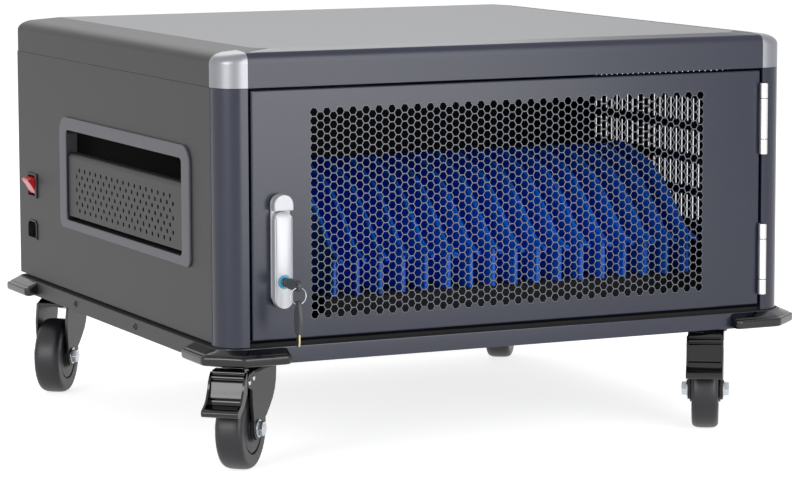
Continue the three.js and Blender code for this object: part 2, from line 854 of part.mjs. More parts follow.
// Raised tray on two folded legs, slotted for the dividers' tabs
function bayTray() {
  const left = dividerX(0) - trayMargin;
  const right = dividerX(bays) + trayMargin;
  const back = trayFront + trayLength;
  const foot = baseFloor + gap;
  const profile = polygon([
    [trayFront, foot], [trayFront, trayTop], [back, trayTop], [back, foot],
    [back - panelFlange, foot], [back - panelFlange, foot + sheet],
    [back - sheet, foot + sheet], [back - sheet, trayTop - sheet],
    [trayFront + sheet, trayTop - sheet], [trayFront + sheet, foot + sheet],
    [trayFront + panelFlange, foot + sheet], [trayFront + panelFlange, foot],
  ]);
  const slots = [];
  for (let i = 0; i <= bays; i += 1) {
    for (const share of tabPlaceShares) {
      const middle = dividerFront + share * dividerLength;
      slots.push(block(
        dividerX(i) - dividerThick / 2 - gap, dividerX(i) + dividerThick / 2 + gap,
        middle - tabLength / 2 - gap, middle + tabLength / 2 + gap,
        trayTop - sheet - overrun, trayTop + overrun,
      ));
    }
  }
  return without(extruded(profile, 'x', left, right), slots);
}

// Divider: a fin with a humped upper edge and two tabs that drop into the tray
function divider(i) {
  const foot = trayTop + gap;
  const fin = polygon(dividerAlongShares.map((along, k) => [
    dividerFront + along * dividerLength, foot + dividerUpShares[k] * dividerHeight,
  ]));
  const low = dividerX(i) - dividerThick / 2;
  const high = dividerX(i) + dividerThick / 2;
  const tabs = tabPlaceShares.map((share) => {
    const middle = dividerFront + share * dividerLength;
    return block(low, high, middle - tabLength / 2, middle + tabLength / 2, foot - tabDepth, foot + overrun);
  });
  return joined([extruded(fin, 'x', low, high), ...tabs]);
}

// Upright sheet that parts the bays from the charging gear, with windows for the leads
function rearBulkhead() {
  const half = halfWidth + baseProud - baseLip - gap;
  const foot = baseFloor + gap;
  const back = bulkheadFace + sheet;
  const top = panelTop - bulkheadTopSpace;
  const profile = polygon([
    [bulkheadFace, foot], [bulkheadFace, top], [back + panelFlange, top],
    [back + panelFlange, top - sheet], [back, top - sheet], [back, foot + sheet],
    [back + panelFlange, foot + sheet], [back + panelFlange, foot],
  ]);
  const pitch = (2 * half) / bulkheadWindows;
  const windows = [];
  for (let i = 0; i < bulkheadWindows; i += 1) {
    const x = -half + (i + 0.5) * pitch;
    windows.push(block(
      x - bulkheadWindow / 2, x + bulkheadWindow / 2,
      bulkheadFace - overrun, back + overrun,
      trayTop + bulkheadWindowRise, trayTop + bulkheadWindowRise + bulkheadWindowTall,
    ));
  }
  return without(extruded(profile, 'x', -half, half), windows);
}

// Closed housing of the charging electronics, with mounting feet at both ends
function chargerUnit() {
  const foot = baseFloor + gap;
  const y0 = bulkheadFace + sheet + panelFlange + gap;
  const half = chargerWidth / 2;
  const x = bayCentre;
  const ends = half + chargerFootWidth;
  return joined([
    block(x - half, x + half, y0, y0 + chargerDepth, foot, foot + chargerTall),
    block(x - ends, x + ends, y0, y0 + chargerDepth, foot, foot + chargerFoot),
  ]);
}

// Hexagon openings of the door's ventilated field; every second column is shifted half a row
function grilleHoles() {
  const holes = [];
  const across = grilleRowPitch - grilleWeb;
  const radius = across / Math.sqrt(3);
  const [left, right] = [-doorHalf + grilleLeftMargin, doorHalf - grilleRightMargin];
  const [low, high] = [doorBottom + grilleBottomMargin, doorTop - grilleTopMargin];
  const columns = Math.floor((right - left - 2 * radius) / grilleColumnPitch) + 1;
  const rows = Math.floor((high - low - across) / grilleRowPitch) + 1;
  for (let column = 0; column < columns; column += 1) {
    const odd = column % 2;
    for (let row = 0; row < rows - odd; row += 1) {
      const x = (left + right) / 2 + (column - (columns - 1) / 2) * grilleColumnPitch;
      const z = (low + high) / 2 + (row + odd / 2 - (rows - 1) / 2) * grilleRowPitch;
      holes.push(extruded(ngon(x, z, radius, 6), 'y', -overrun, sheet + overrun));
    }
  }
  return holes;
}

// Door pan: the face with its hexagon field and lock openings, and a return on every edge
function doorPanel() {
  const pan = without(
    block(-doorHalf, doorHalf, 0, doorReturn, doorBottom, doorTop),
    [block(
      -doorHalf + sheet, doorHalf - sheet, sheet, doorReturn + overrun,
      doorBottom + sheet, doorTop - sheet,
    )],
  );
  const spindleHole = boreRound(lockX, panelBottom + leverTurnHeight, spindleRadius, 10);
  return without(pan, [...grilleHoles(), extruded(spindleHole, 'y', -overrun, sheet + overrun)]);
}

// Level of a hinge's middle and half its length
function hingeSpan(which) {
  const middle = which === 0 ? doorTop - hingeTopInset : doorBottom + hingeBottomInset;
  return [middle, hingeMiddleKnuckle / 2, hingeMiddleKnuckle / 2 + hingeEndKnuckle];
}

// Leaf in the gap between door and post, with a tongue into its knuckle
function hingeLeaf(x, low, high, tongueLow, tongueHigh) {
  return joined([
    block(x - leafThick / 2, x + leafThick / 2, gap, leafDepth, low, high),
    block(x - leafThick / 2, x + leafThick / 2, hingeY, leafDepth, tongueLow, tongueHigh),
  ]);
}

function hingeDoorLeaf(which) {
  const [middle, half, whole] = hingeSpan(which);
  const x = doorHalf + gap + leafThick / 2;
  const low = middle - half + gap / 2;
  const high = middle + half - gap / 2;
  const body = joined([
    hingeLeaf(x, middle - whole, middle + whole, low, high),
    extruded(ngon(hingeX, hingeY, knuckleRadius, 10), 'z', low, high),
  ]);
  const bore = boreRound(hingeX, hingeY, hingePinRadius, 8);
  return body.subtract(extruded(bore, 'z', low - overrun, high + overrun));
}

// Frame leaf: carries the end knuckles and the pin
function hingeFrameLeaf(which) {
  const [middle, half, whole] = hingeSpan(which);
  const x = postEdge - gap - leafThick / 2;
  const knuckle = ngon(hingeX, hingeY, knuckleRadius, 10);
  const ends = [[middle - whole, middle - half - gap / 2], [middle + half + gap / 2, middle + whole]];
  return joined([
    ...ends.map(([low, high]) => extruded(knuckle, 'z', low, high)),
    ...ends.map(([low, high]) => hingeLeaf(x, middle - whole, middle + whole, low, high)),
    extruded(ngon(hingeX, hingeY, hingePinRadius, 8), 'z', middle - whole, middle + whole),
  ]);
}

// Upright outline with round ends, in (x, z)
function stadium(x, width, low, high) {
  return roundedRectangle(x - width / 2, x + width / 2, panelBottom + low, panelBottom + high, width / 2 - gap / 10);
}

// Escutcheon on the door's face, with a raised head above the lever
function lockPlate() {
  const back = -gap;
  const front = back - lockPlateThick;
  const plate = extruded(stadium(lockX, lockPlateWidth, lockPlateBottom, lockPlateTop), 'y', front, back);
  const headCut = block(
    lockX - lockPlateWidth, lockX + lockPlateWidth, -lockFront - overrun, overrun,
    panelBottom, panelBottom + leverTop + 2 * gap,
  );
  const head = without(
    extruded(stadium(lockX, lockPlateWidth, lockPlateBottom, lockPlateTop), 'y', -lockFront, back),
    [headCut],
  );
  const hole = boreRound(lockX, panelBottom + leverTurnHeight, spindleRadius, 10);
  return without(joined([plate, head]), [extruded(hole, 'y', front - overrun, back + overrun)]);
}

// Spindle through the door: a lug and cross pin that carry the lever, and the latch cam inside
function latchSpindle() {
  const level = panelBottom + leverTurnHeight;
  const lift = panelBottom + leverLiftHeight;
  const leverBack = -gap - lockPlateThick - gap;
  const lugHalf = spindleLugWidth / 2;
  return joined([
    extruded(ngon(lockX, level, spindleRadius, 10), 'y', leverBack - gap, camDepth + camThick),
    extruded(ngon(-leverLiftOut, lift, spindleEyeRadius, 8), 'x', lockX - lugHalf, lockX + lugHalf),
    block(lockX - lugHalf, lockX + lugHalf, -leverLiftOut, leverBack, level - lugHalf, lift + lugHalf / 2),
    extruded(
      ngon(-leverLiftOut, lift, spindlePinRadius, 8), 'x', lockX - spindlePinReach, lockX + spindlePinReach,
    ),
    block(
      lockX - camReach, lockX + camWidth / 2, camDepth, camDepth + camThick,
      level - camWidth / 2, level + camWidth / 2,
    ),
  ]);
}

// Lever that lifts off the plate at its lower end and then turns the spindle
function lockLever() {
  const back = -gap - lockPlateThick - gap;
  const top = panelBottom + leverTop;
  const lift = panelBottom + leverLiftHeight;
  const lug = spindleLugWidth / 2 + gap;
  const bar = extruded(stadium(lockX, leverWidth, leverBottom, leverTop), 'y', -lockFront, back);
  const nose = polygon([
    [-lockFront - overrun, top - 2 * leverNose],
    [-lockFront, top - 2 * leverNose],
    [-lockFront + leverNose, top],
    [-lockFront + leverNose, top + overrun],
    [-lockFront - overrun, top + overrun],
  ]);
  const heel = polygon([
    [back + overrun, top - 2 * leverHeel],
    [back + overrun, top + overrun],
    [back - leverHeel, top + overrun],
    [back - leverHeel, top],
    [back, top - 2 * leverHeel],
  ]);
  const slotFloor = -leverLiftOut - spindleEyeRadius - gap;
  const slot = block(
    lockX - lug, lockX + lug, slotFloor, back + overrun,
    panelBottom + leverTurnHeight - spindleRadius * 2, top + overrun,
  );
  const seat = block(
    lockX - spindleRadius - gap, lockX + spindleRadius + gap, back - 2 * gap, back + overrun,
    panelBottom + leverTurnHeight - spindleRadius - gap, panelBottom + leverTurnHeight + spindleRadius + gap,
  );
  const half = leverWidth / 2;
  const pinHole = boreRound(-leverLiftOut, lift, spindlePinRadius, 8);
  const lockHole = boreRound(lockX, panelBottom + lockHeight, lockRadius, 12);
  return without(bar, [
    extruded(nose, 'x', lockX - half - overrun, lockX + half + overrun),
    extruded(heel, 'x', lockX - half - overrun, lockX + half + overrun),
    slot,
    seat,
    extruded(pinHole, 'x', lockX - spindlePinReach - gap, lockX + spindlePinReach + gap),
    extruded(lockHole, 'y', -lockFront - overrun, back + overrun),
  ]);
}

function lockCylinder() {
  const back = -gap - lockPlateThick - 2 * gap;
  const front = -lockFront - lockProud;
  const level = panelBottom + lockHeight;
  const wide = keyBladeThick / 2 + gap;
  const tall = keyBladeTall / 2 + gap;
  const keyway = block(
    lockX - wide, lockX + wide, front - overrun, front + keyBladeLength + gap,
    level - tall, level + tall,
  );
  return extruded(ngon(lockX, level, lockRadius, 12), 'y', front, back).subtract(keyway);
}

// A key along -z from its shoulder at the origin, with its flat side facing +x.
// The blade points up, and the head hangs below with the eye at its lower end.
function keyForm() {
  const headTop = -keyNeck;
  const headBottom = headTop - keyHeadLength;
  const half = keyHeadTall / 2;
  const neckHalf = keyBladeTall / 2;
  const head = roundedRectangle(-half, half, headBottom, headTop, half - gap, half / 2);
  const thick = keyHeadThick / 2;
  const bladeThick = keyBladeThick / 2;
  const blade = polygon([
    [-neckHalf, headTop - overrun], [neckHalf, headTop - overrun],
    [neckHalf, keyBladeLength - neckHalf], [neckHalf / 2, keyBladeLength],
    [-neckHalf, keyBladeLength],
  ]);
  const eye = ngon(0, headBottom + keyEyeInset, keyEyeRadius, 10);
  return without(
    joined([extruded(head, 'x', -thick, thick), extruded(blade, 'x', -bladeThick, bladeThick)]),
    [extruded(eye, 'x', -thick - overrun, thick + overrun)],
  );
}

// Distance from a key's shoulder to the middle of its eye
function keyEyeDrop() {
  return keyNeck + keyHeadLength - keyEyeInset;
}

// Wire ring in the (x, z) plane round the origin
function ringForm() {
  const profile = [];
  const sides = 5;
  for (let i = 0; i <= sides; i += 1) {
    const angle = (2 * Math.PI * i) / sides;
    profile.push(new THREE.Vector2(ringRadius + ringWire * Math.cos(angle), ringWire * Math.sin(angle)));
  }
  return solidOf(new THREE.LatheGeometry(profile, 20));
}

// Wheel on the y axis: a band of tread, a rim, a dished side and a hub with its bore
function wheelForm() {
  const flatRadius = wheelRadius / Math.cos(Math.PI / wheelSides);
  const bore = (axleRadius + gap) / Math.cos(Math.PI / wheelSides);
  const low = [[bore, -wheelWidth / 2]].concat(wheelRadiusShares.map((share, i) => [
    share * flatRadius, -wheelFaceShares[i] * wheelWidth,
  ]));
  const high = low.map(([radius, out]) => [radius, -out]).reverse();
  const profile = [...low, ...high, low[0]].map(([radius, out]) => new THREE.Vector2(radius, out));
  const geometry = new THREE.LatheGeometry(profile, wheelSides, Math.PI / wheelSides);
  return solidOf(geometry);
}

// Side plate of a fork in (x, z), with +x the way the wheel trails
function forkSidePlate(braked) {
  const level = wheelRadius;
  const shoulder = forkCrownTop - forkWeb * 2;
  const points = [
    [-forkBack, forkCrownTop], [-forkBack, shoulder],
    [-forkBack + casterTrail, level + forkBoss * 1.6],
  ];
  for (let i = 0; i <= arcSteps; i += 1) {
    const angle = Math.PI * (1.12 + 0.88 * (i / arcSteps));
    points.push([casterTrail + forkBoss * Math.cos(angle), level + forkBoss * Math.sin(angle)]);
  }
  points.push([forkFront, level + forkBoss * 1.4], [forkFront, shoulder]);
  if (braked) {
    for (let i = 0; i <= arcSteps; i += 1) {
      const angle = Math.PI * (i / arcSteps - 0.5);
      points.push([
        pedalPivotAhead + pedalEar * Math.cos(angle), pedalPivotHeight + pedalEar * Math.sin(angle),
      ]);
    }
    points.push([forkFront, pedalPivotHeight + pedalEar]);
  }
  points.push([forkFront, forkCrownTop]);
  return polygon(points);
}

// Caster fork with its raceway, wheel axle and nuts, in the caster's own frame
function forkForm(braked) {
  const webTop = forkCrownTop;
  const racewayTop = webTop + racewayTall;
  const outside = forkInside / 2 + forkSheet;
  const inside = forkInside / 2;
  const side = forkSidePlate(braked);
  const axle = ngon(casterTrail, wheelRadius, axleRadius, 8);
  const nut = ngon(casterTrail, wheelRadius, nutRadius, 6);
  const solids = [
    block(-forkBack, forkFront, -outside, outside, webTop - forkWeb, webTop),
    extruded(ngon(0, 0, racewayRadius, 14), 'z', webTop - forkWeb, racewayTop),
    extruded(side, 'y', inside, outside),
    extruded(side, 'y', -outside, -inside),
    extruded(axle, 'y', -outside - nutThick, outside + nutThick),
    extruded(nut, 'y', outside - gap, outside + nutThick - gap),
    extruded(nut, 'y', -outside - nutThick + gap, -outside + gap),
  ];
  if (braked) {
    solids.push(extruded(ngon(pedalPivotAhead, pedalPivotHeight, pedalPinRadius, 8), 'y', -outside, outside));
  }
  const bore = boreRound(0, 0, kingpinRadius, 10);
  return joined(solids).subtract(extruded(bore, 'z', webTop - forkWeb - overrun, racewayTop + overrun));
}

// Brake pedal between the fork's ears, scooped towards a flared toe
function pedalForm() {
  const points = pedalAlongShares.map((along, i) => [
    pedalPivotAhead + along * pedalLength, pedalPivotHeight + pedalUpShares[i] * pedalTall,
  ]);
  const half = pedalWidth / 2;
  const neck = forkInside / 2 - gap;
  const earEnd = pedalPivotAhead + pedalEar + gap + overrun;
  const top = baseBottom;
  const cuts = [1, -1].map((side) => block(
    casterTrail, earEnd,
    Math.min(side * neck, side * (half + overrun)), Math.max(side * neck, side * (half + overrun)),
    0, top,
  ));
  const bore = boreRound(pedalPivotAhead, pedalPivotHeight, pedalPinRadius, 8);
  return without(extruded(polygon(points), 'y', -half, half), [
    ...cuts,
    extruded(bore, 'y', -half - overrun, half + overrun),
  ]);
}

// One caster, turned so that its wheel trails the given way, in degrees from +X
function caster(i) {
  const name = casterNames[i];
  const braked = i < 2;
  const fork = piece(`caster_fork_${name}`, forkForm(braked), finishes.blackPlastic);
  const wheel = piece(`wheel_${name}`, wheelForm(), finishes.rubber);
  wheel.position.set(casterTrail, 0, wheelRadius);
  const group = grouped(fork, wheel);
  if (braked) group.add(piece(`brake_pedal_${name}`, pedalForm(), finishes.blackPlastic));
  const [x, y] = casterPlaces()[i];
  group.position.set(x, y, 0);
  group.rotation.z = THREE.MathUtils.degToRad(casterTurns[i]);
  return group;
}

// The key in the lock, the ring through its eye and the spare key that hangs from the ring
function keySet() {
  const level = panelBottom + lockHeight;
  const shoulder = -lockFront - lockProud;
  const inLock = piece('key_in_lock', keyForm(), finishes.greyPlastic);
  inLock.position.set(lockX, shoulder, level);
  inLock.rotation.x = -Math.PI / 2;
  const eyeY = shoulder - keyEyeDrop();
  const ring = piece('key_ring', ringForm(), finishes.silver);
  const ringLevel = level - ringSlack - ringRadius;
  ring.position.set(lockX, eyeY, ringLevel);
  const spare = piece('spare_key', keyForm(), finishes.greyPlastic);
  spare.position.set(lockX, eyeY, ringLevel - ringRadius - ringSlack - keyEyeDrop());
  spare.rotation.x = Math.PI;
  return grouped(inLock, ring, spare);
}

function frontDoor() {
  const door = grouped(
    piece('door_panel', doorPanel(), finishes.doorPaint),
    piece('lock_plate', lockPlate(), finishes.silver),
    piece('latch_spindle', latchSpindle(), finishes.zinc),
    piece('lock_lever', lockLever(), finishes.silver),
    piece('lock_cylinder', lockCylinder(), finishes.cyanPlastic),
    keySet(),
  );
  hingeNames.forEach((name, which) => {
    door.add(piece(`hinge_${name}_door_leaf`, hingeDoorLeaf(which), finishes.hingeSteel));
  });
  return door;
}

function body() {
  const group = grouped(
    piece('base_tray', baseTray(), finishes.panelPaint),
    piece('side_panel_left', leftSidePanel(), finishes.panelPaint),
    piece('side_panel_right', rightSidePanel(), finishes.panelPaint),
    piece('back_panel', backPanel(), finishes.panelPaint),
    piece('post_front_left', frontPost(-1), finishes.doorPaint),
    piece('post_front_right', frontPost(1), finishes.doorPaint),
    piece('lid', lid(), finishes.panelPaint),
    piece('lid_cap_left', lidCap(-1), finishes.silver),
    piece('lid_cap_right', lidCap(1), finishes.silver),
    piece('handle_bezel', handleBezel(), finishes.panelPaint),
    piece('handle_grip_plate', handleGripPlate(), finishes.panelPaint),
    piece('switch_housing', switchHousing(), finishes.blackPlastic),
    piece('rocker', rocker(), finishes.redPlastic),
    piece('power_inlet', powerInlet(), finishes.blackPlastic),
    piece('bumper_front_left', bumper(-1, false), finishes.blackPlastic),
    piece('bumper_front_right', bumper(1, false), finishes.blackPlastic),
    piece('bumper_back_left', bumper(-1, true), finishes.blackPlastic),
    piece('bumper_back_right', bumper(1, true), finishes.blackPlastic),
  );
  hingeNames.forEach((name, which) => {
    group.add(piece(`hinge_${name}_frame_leaf`, hingeFrameLeaf(which), finishes.hingeSteel));
  });
  return group;
}

function interior() {
  const group = grouped(
    piece('bay_tray', bayTray(), finishes.innerPaint),
    piece('rear_bulkhead', rearBulkhead(), finishes.innerPaint),
    piece('charger_unit', chargerUnit(), finishes.blackPlastic),
  );
  for (let i = 0; i <= bays; i += 1) {
    const number = String(i + 1).padStart(2, '0');
    group.add(piece(`divider_${number}`, divider(i), finishes.bluePlastic));
  }
  return group;
}

const cabinet = grouped(body(), interior(), frontDoor(), ...casterNames.map((name, i) => caster(i)));

// The origin is on the floor, under the middle of the space that the whole cabinet takes up
const reach = new THREE.Box3().setFromObject(cabinet, true);
cabinet.position.x = -(reach.min.x + reach.max.x) / 2;
cabinet.position.y = -(reach.min.y + reach.max.y) / 2;

export default cabinet;
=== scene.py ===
import json
import math

import bmesh
import bpy
from mathutils import Matrix, Vector


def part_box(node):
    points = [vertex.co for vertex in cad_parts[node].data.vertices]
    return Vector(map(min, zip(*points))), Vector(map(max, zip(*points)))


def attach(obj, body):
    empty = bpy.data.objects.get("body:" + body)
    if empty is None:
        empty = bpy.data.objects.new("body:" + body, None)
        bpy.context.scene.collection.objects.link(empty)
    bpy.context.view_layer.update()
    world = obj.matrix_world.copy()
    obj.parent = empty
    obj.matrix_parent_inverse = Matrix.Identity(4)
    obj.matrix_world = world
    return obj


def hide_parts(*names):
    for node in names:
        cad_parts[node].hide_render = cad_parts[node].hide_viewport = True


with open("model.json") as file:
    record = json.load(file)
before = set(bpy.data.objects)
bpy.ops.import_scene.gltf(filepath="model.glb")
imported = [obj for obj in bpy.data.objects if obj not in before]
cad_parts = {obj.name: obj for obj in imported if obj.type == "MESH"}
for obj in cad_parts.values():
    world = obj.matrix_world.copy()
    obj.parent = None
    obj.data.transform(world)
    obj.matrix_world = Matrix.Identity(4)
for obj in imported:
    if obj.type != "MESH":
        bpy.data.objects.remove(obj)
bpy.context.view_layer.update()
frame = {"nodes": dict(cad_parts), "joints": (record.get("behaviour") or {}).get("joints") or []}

bl_info = {
    "name": "Charging cabinet",
    "version": (1, 0, 0),
    "blender": (4, 5, 0),
    "location": "3D View > Sidebar > Cabinet",
    "description": "Builds the visible pieces of a charging cabinet round its packed CAD model",
    "category": "Object",
}

# Pieces are drawn in millimetres: x to the right from the middle of the lid, y into the cabinet
# from the door's face, z up from the floor. MIDDLE_X and FACE_Y place the drawing in the row frame.
MM = 0.001
MIDDLE_X = (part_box("lid")[0].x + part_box("lid")[1].x) / 2
FACE_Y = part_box("door_panel")[0].y


def span(node):
    """Box of a CAD node in the drawing: x0, x1, y0, y1, z0, z1."""
    low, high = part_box(node)
    return (
        (low.x - MIDDLE_X) / MM, (high.x - MIDDLE_X) / MM,
        (low.y - FACE_Y) / MM, (high.y - FACE_Y) / MM,
        low.z / MM, high.z / MM,
    )


def drawn(place):
    """A place in the row frame, in metres, as a point of the drawing."""
    return Vector(((place[0] - MIDDLE_X) / MM, (place[1] - FACE_Y) / MM, place[2] / MM))


def to_frame(point):
    """A point of the drawing as a place in the row frame, in metres."""
    return Vector((point[0] * MM + MIDDLE_X, point[1] * MM + FACE_Y, point[2] * MM))


def joint(name):
    """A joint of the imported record, by its name."""
    return next(j for j in frame["joints"] if j["name"] == name)


# Shared sizes of the drawing, in millimetres, taken from the frame where it has them
SHEET = 1.5
GAP = 0.3
HALF = span("lid")[1]
DEPTH = span("lid")[3]
PANEL_LOW, PANEL_HIGH = span("side_panel_left")[4:6]
LID_LOW, LID_HIGH = span("lid")[4:6]
BASE_LOW = span("bumper_front_left")[4] - 0.5
BASE_HIGH = BASE_LOW + 16
BASE_PROUD = 4
CORNER = 24
POST_EDGE = HALF - 27
POST_DEPTH = 28
CASTER_PLATE = 2.5
DOOR_HALF = span("door_panel")[1]
DOOR_LOW, DOOR_HIGH = span("door_panel")[4:6]
CORNERS = ("front_left", "front_right", "back_left", "back_right")


def linear(code):
    """An sRGB colour such as #50535d, as linear red, green and blue."""
    parts = [int(code[i:i + 2], 16) / 255 for i in (1, 3, 5)]
    return tuple(p / 12.92 if p <= 0.04045 else ((p + 0.055) / 1.055) ** 2.4 for p in parts)


# Forms: points in millimetres and faces

class Form:
    """Points of the drawing and the faces between them, gathered until they become a mesh."""

    def __init__(self):
        self.points, self.faces, self.marks = [], [], []

    def add(self, points, faces):
        """Adds points and the faces between them, in the first finish."""
        start = len(self.points)
        self.points += [Vector(point) for point in points]
        self.faces += [[start + i for i in face] for face in faces]
        self.marks += [0] * len(faces)
        return self

    def take(self, other, matrix=Matrix.Identity(4), mark=None):
        """Adds another form, placed by a matrix, in its own finishes or in the marked one."""
        start = len(self.points)
        self.points += [matrix @ point for point in other.points]
        self.faces += [[start + i for i in face] for face in other.faces]
        self.marks += other.marks if mark is None else [mark] * len(other.faces)
        return self


def arc(a, b, radius, start, end, steps):
    """Points of an arc between two angles in degrees, both ends included."""
    angles = [math.radians(start + (end - start) * i / steps) for i in range(steps + 1)]
    return [(a + radius * math.cos(t), b + radius * math.sin(t)) for t in angles]


def circle(a, b, radius, sides):
    """A regular polygon with a corner on its first axis."""
    return arc(a, b, radius, 0, 360, sides)[:-1]


def rounded(a0, a1, b0, b1, low, high=None, steps=6):
    """A rectangle with one radius at its two low corners and one at its two high ones."""
    high = low if high is None else high
    return (
        arc(a0 + low, b0 + low, low, 180, 270, steps)
        + arc(a1 - low, b0 + low, low, 270, 360, steps)
        + arc(a1 - high, b1 - high, high, 0, 90, steps)
        + arc(a0 + high, b1 - high, high, 90, 180, steps)
    )


def smoothed(points, steps=4):
    """A closed outline drawn as one smooth curve through its points."""
    made = []
    count = len(points)
    for i in range(count):
        p0, p1, p2, p3 = (Vector(points[(i + k) % count]) for k in (-1, 0, 1, 2))
        for step in range(steps):
            t = step / steps
            made.append(tuple(0.5 * (
                2 * p1 + (p2 - p0) * t + (2 * p0 - 5 * p1 + 4 * p2 - p3) * t * t
                + (3 * p1 - p0 - 3 * p2 + p3) * t ** 3
            )))
    return made


def along(axis, outline, level):
    """A flat outline as points at one level of an axis."""
    if axis == "x":
        return [(level, a, b) for a, b in outline]
    if axis == "y":
        return [(a, level, b) for a, b in outline]
    return [(a, b, level) for a, b in outline]


def loft(rings, closed=False, caps=True):
    """A skin through rings of equally many points; closed joins the last ring to the first."""
    count = len(rings[0])
    faces = []
    for ring in range(len(rings) if closed else len(rings) - 1):
        low, high = ring * count, ((ring + 1) % len(rings)) * count
        for i in range(count):
            j = (i + 1) % count
            faces.append([low + i, low + j, high + j, high + i])
    if caps and not closed:
        last = (len(rings) - 1) * count
        faces.append(list(range(count)))
        faces.append([last + i for i in range(count)])
    return Form().add([point for ring in rings for point in ring], faces)


def prism(axis, outline, low, high):
    """A straight bar of one outline between two levels of an axis."""
    return loft([along(axis, outline, low), along(axis, outline, high)])


def block(x0, x1, y0, y1, z0, z1):
    """A box between two corners."""
    return prism("z", [(x0, y0), (x1, y0), (x1, y1), (x0, y1)], z0, z1)


def revolved(profile, steps, closed=False):
    """A profile of radius and height turned round the z axis."""
    rings = [along("z", circle(0, 0, radius, steps), height) for radius, height in profile]
    return loft(rings, closed=closed)


def filled(outlines, ready=None):
    """A flat mesh that fills the first outline and leaves the others open."""
    flat = ready or bmesh.new()
    edges = [e for e in flat.edges if e.is_boundary and not e.tag]
    for outline in outlines:
        corners = [flat.verts.new((a, b, 0)) for a, b in outline]
        edges += [flat.edges.new((corners[i - 1], corners[i])) for i in range(len(corners))]
    bmesh.ops.triangle_fill(flat, edges=edges, use_beauty=True, use_dissolve=False)
    return flat


def thickened(flat, axis, low, high, skip=()):
    """Two sheets from a flat mesh, with walls along its open edges apart from the skipped ones."""
    flat.verts.index_update()
    outline = [(v.co.x, v.co.y) for v in flat.verts]
    count = len(outline)
    kept = {tuple(round(c, 4) for c in point) for point in skip}
    faces, marks = [], []
    for face in flat.faces:
        corners = [v.index for v in face.verts]
        faces += [corners, [count + i for i in corners]]
        marks += [face.material_index] * 2
    for edge in flat.edges:
        a, b = edge.verts
        ends = [tuple(round(c, 4) for c in (v.co.x, v.co.y)) for v in (a, b)]
        if edge.is_boundary and not all(end in kept for end in ends):
            faces.append([a.index, b.index, count + b.index, count + a.index])
            marks.append(0)
    flat.free()
    made = Form().add(along(axis, outline, low) + along(axis, outline, high), faces)
    made.marks = marks
    return made


def plate(axis, outline, holes, low, high):
    """A flat sheet with holes through it."""
    return thickened(filled([outline, *holes]), axis, low, high)


def mesh_of(name, form):
    """A Blender mesh in the row frame from a form."""
    work = bmesh.new()
    corners = [work.verts.new(to_frame(point)) for point in form.points]
    for face, mark in zip(form.faces, form.marks):
        work.faces.new([corners[i] for i in face]).material_index = mark
    bmesh.ops.remove_doubles(work, verts=work.verts, dist=0.005 * MM)
    bmesh.ops.dissolve_degenerate(work, edges=work.edges, dist=0.001 * MM)
    bmesh.ops.recalc_face_normals(work, faces=work.faces)
    mesh = bpy.data.meshes.new(name)
    work.to_mesh(mesh)
    work.free()
    return mesh


def carved(form, cutter, operation):
    """The form with the cutter taken away (DIFFERENCE) or kept only inside it (INTERSECT)."""
    hosts = []
    for part in (form, cutter):
        host = bpy.data.objects.new("cutting", mesh_of("cutting", part))
        bpy.context.scene.collection.objects.link(host)
        hosts.append(host)
    modifier = hosts[0].modifiers.new("cut", "BOOLEAN")
    modifier.operation, modifier.object, modifier.solver = operation, hosts[1], "EXACT"
    view = bpy.context.evaluated_depsgraph_get()
    mesh = bpy.data.meshes.new_from_object(hosts[0].evaluated_get(view))
    points = [drawn(v.co) for v in mesh.vertices]
    made = Form().add(points, [list(p.vertices) for p in mesh.polygons])
    for host in hosts:
        bpy.data.objects.remove(host)
    return made


def paint_side_shade(made, lean):
    """Gives the faces that lean to the left or right the piece's second finish: painted shade on
    the sides, against the paler, bluer front and top, which carry painted light.
    """
    for face in made.data.polygons:
        if face.material_index == 0 and abs(face.normal.x) > lean:
            face.material_index = 1


def piece(name, form, body, finishes, replaces=(), rounding=0, segments=2, sharp=35):
    """One visible piece: its mesh, rounded edges, finishes, body and the CAD node it stands for."""
    mesh = mesh_of(name, form)
    mesh.shade_smooth()
    mesh.set_sharp_from_angle(angle=math.radians(sharp))
    made = bpy.data.objects.new(name, mesh)
    bpy.context.scene.collection.objects.link(made)
    for finish_name in finishes:
        mesh.materials.append(finish(finish_name))
    if rounding:
        bevel = made.modifiers.new("rounded edges", "BEVEL")
        bevel.width, bevel.segments = rounding * MM, segments
        bevel.limit_method, bevel.angle_limit = "ANGLE", math.radians(sharp)
        bevel.harden_normals = True
    made.modifiers.new("even shading", "WEIGHTED_NORMAL").keep_sharp = True
    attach(made, body)
    if replaces:
        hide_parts(*replaces)
    return made


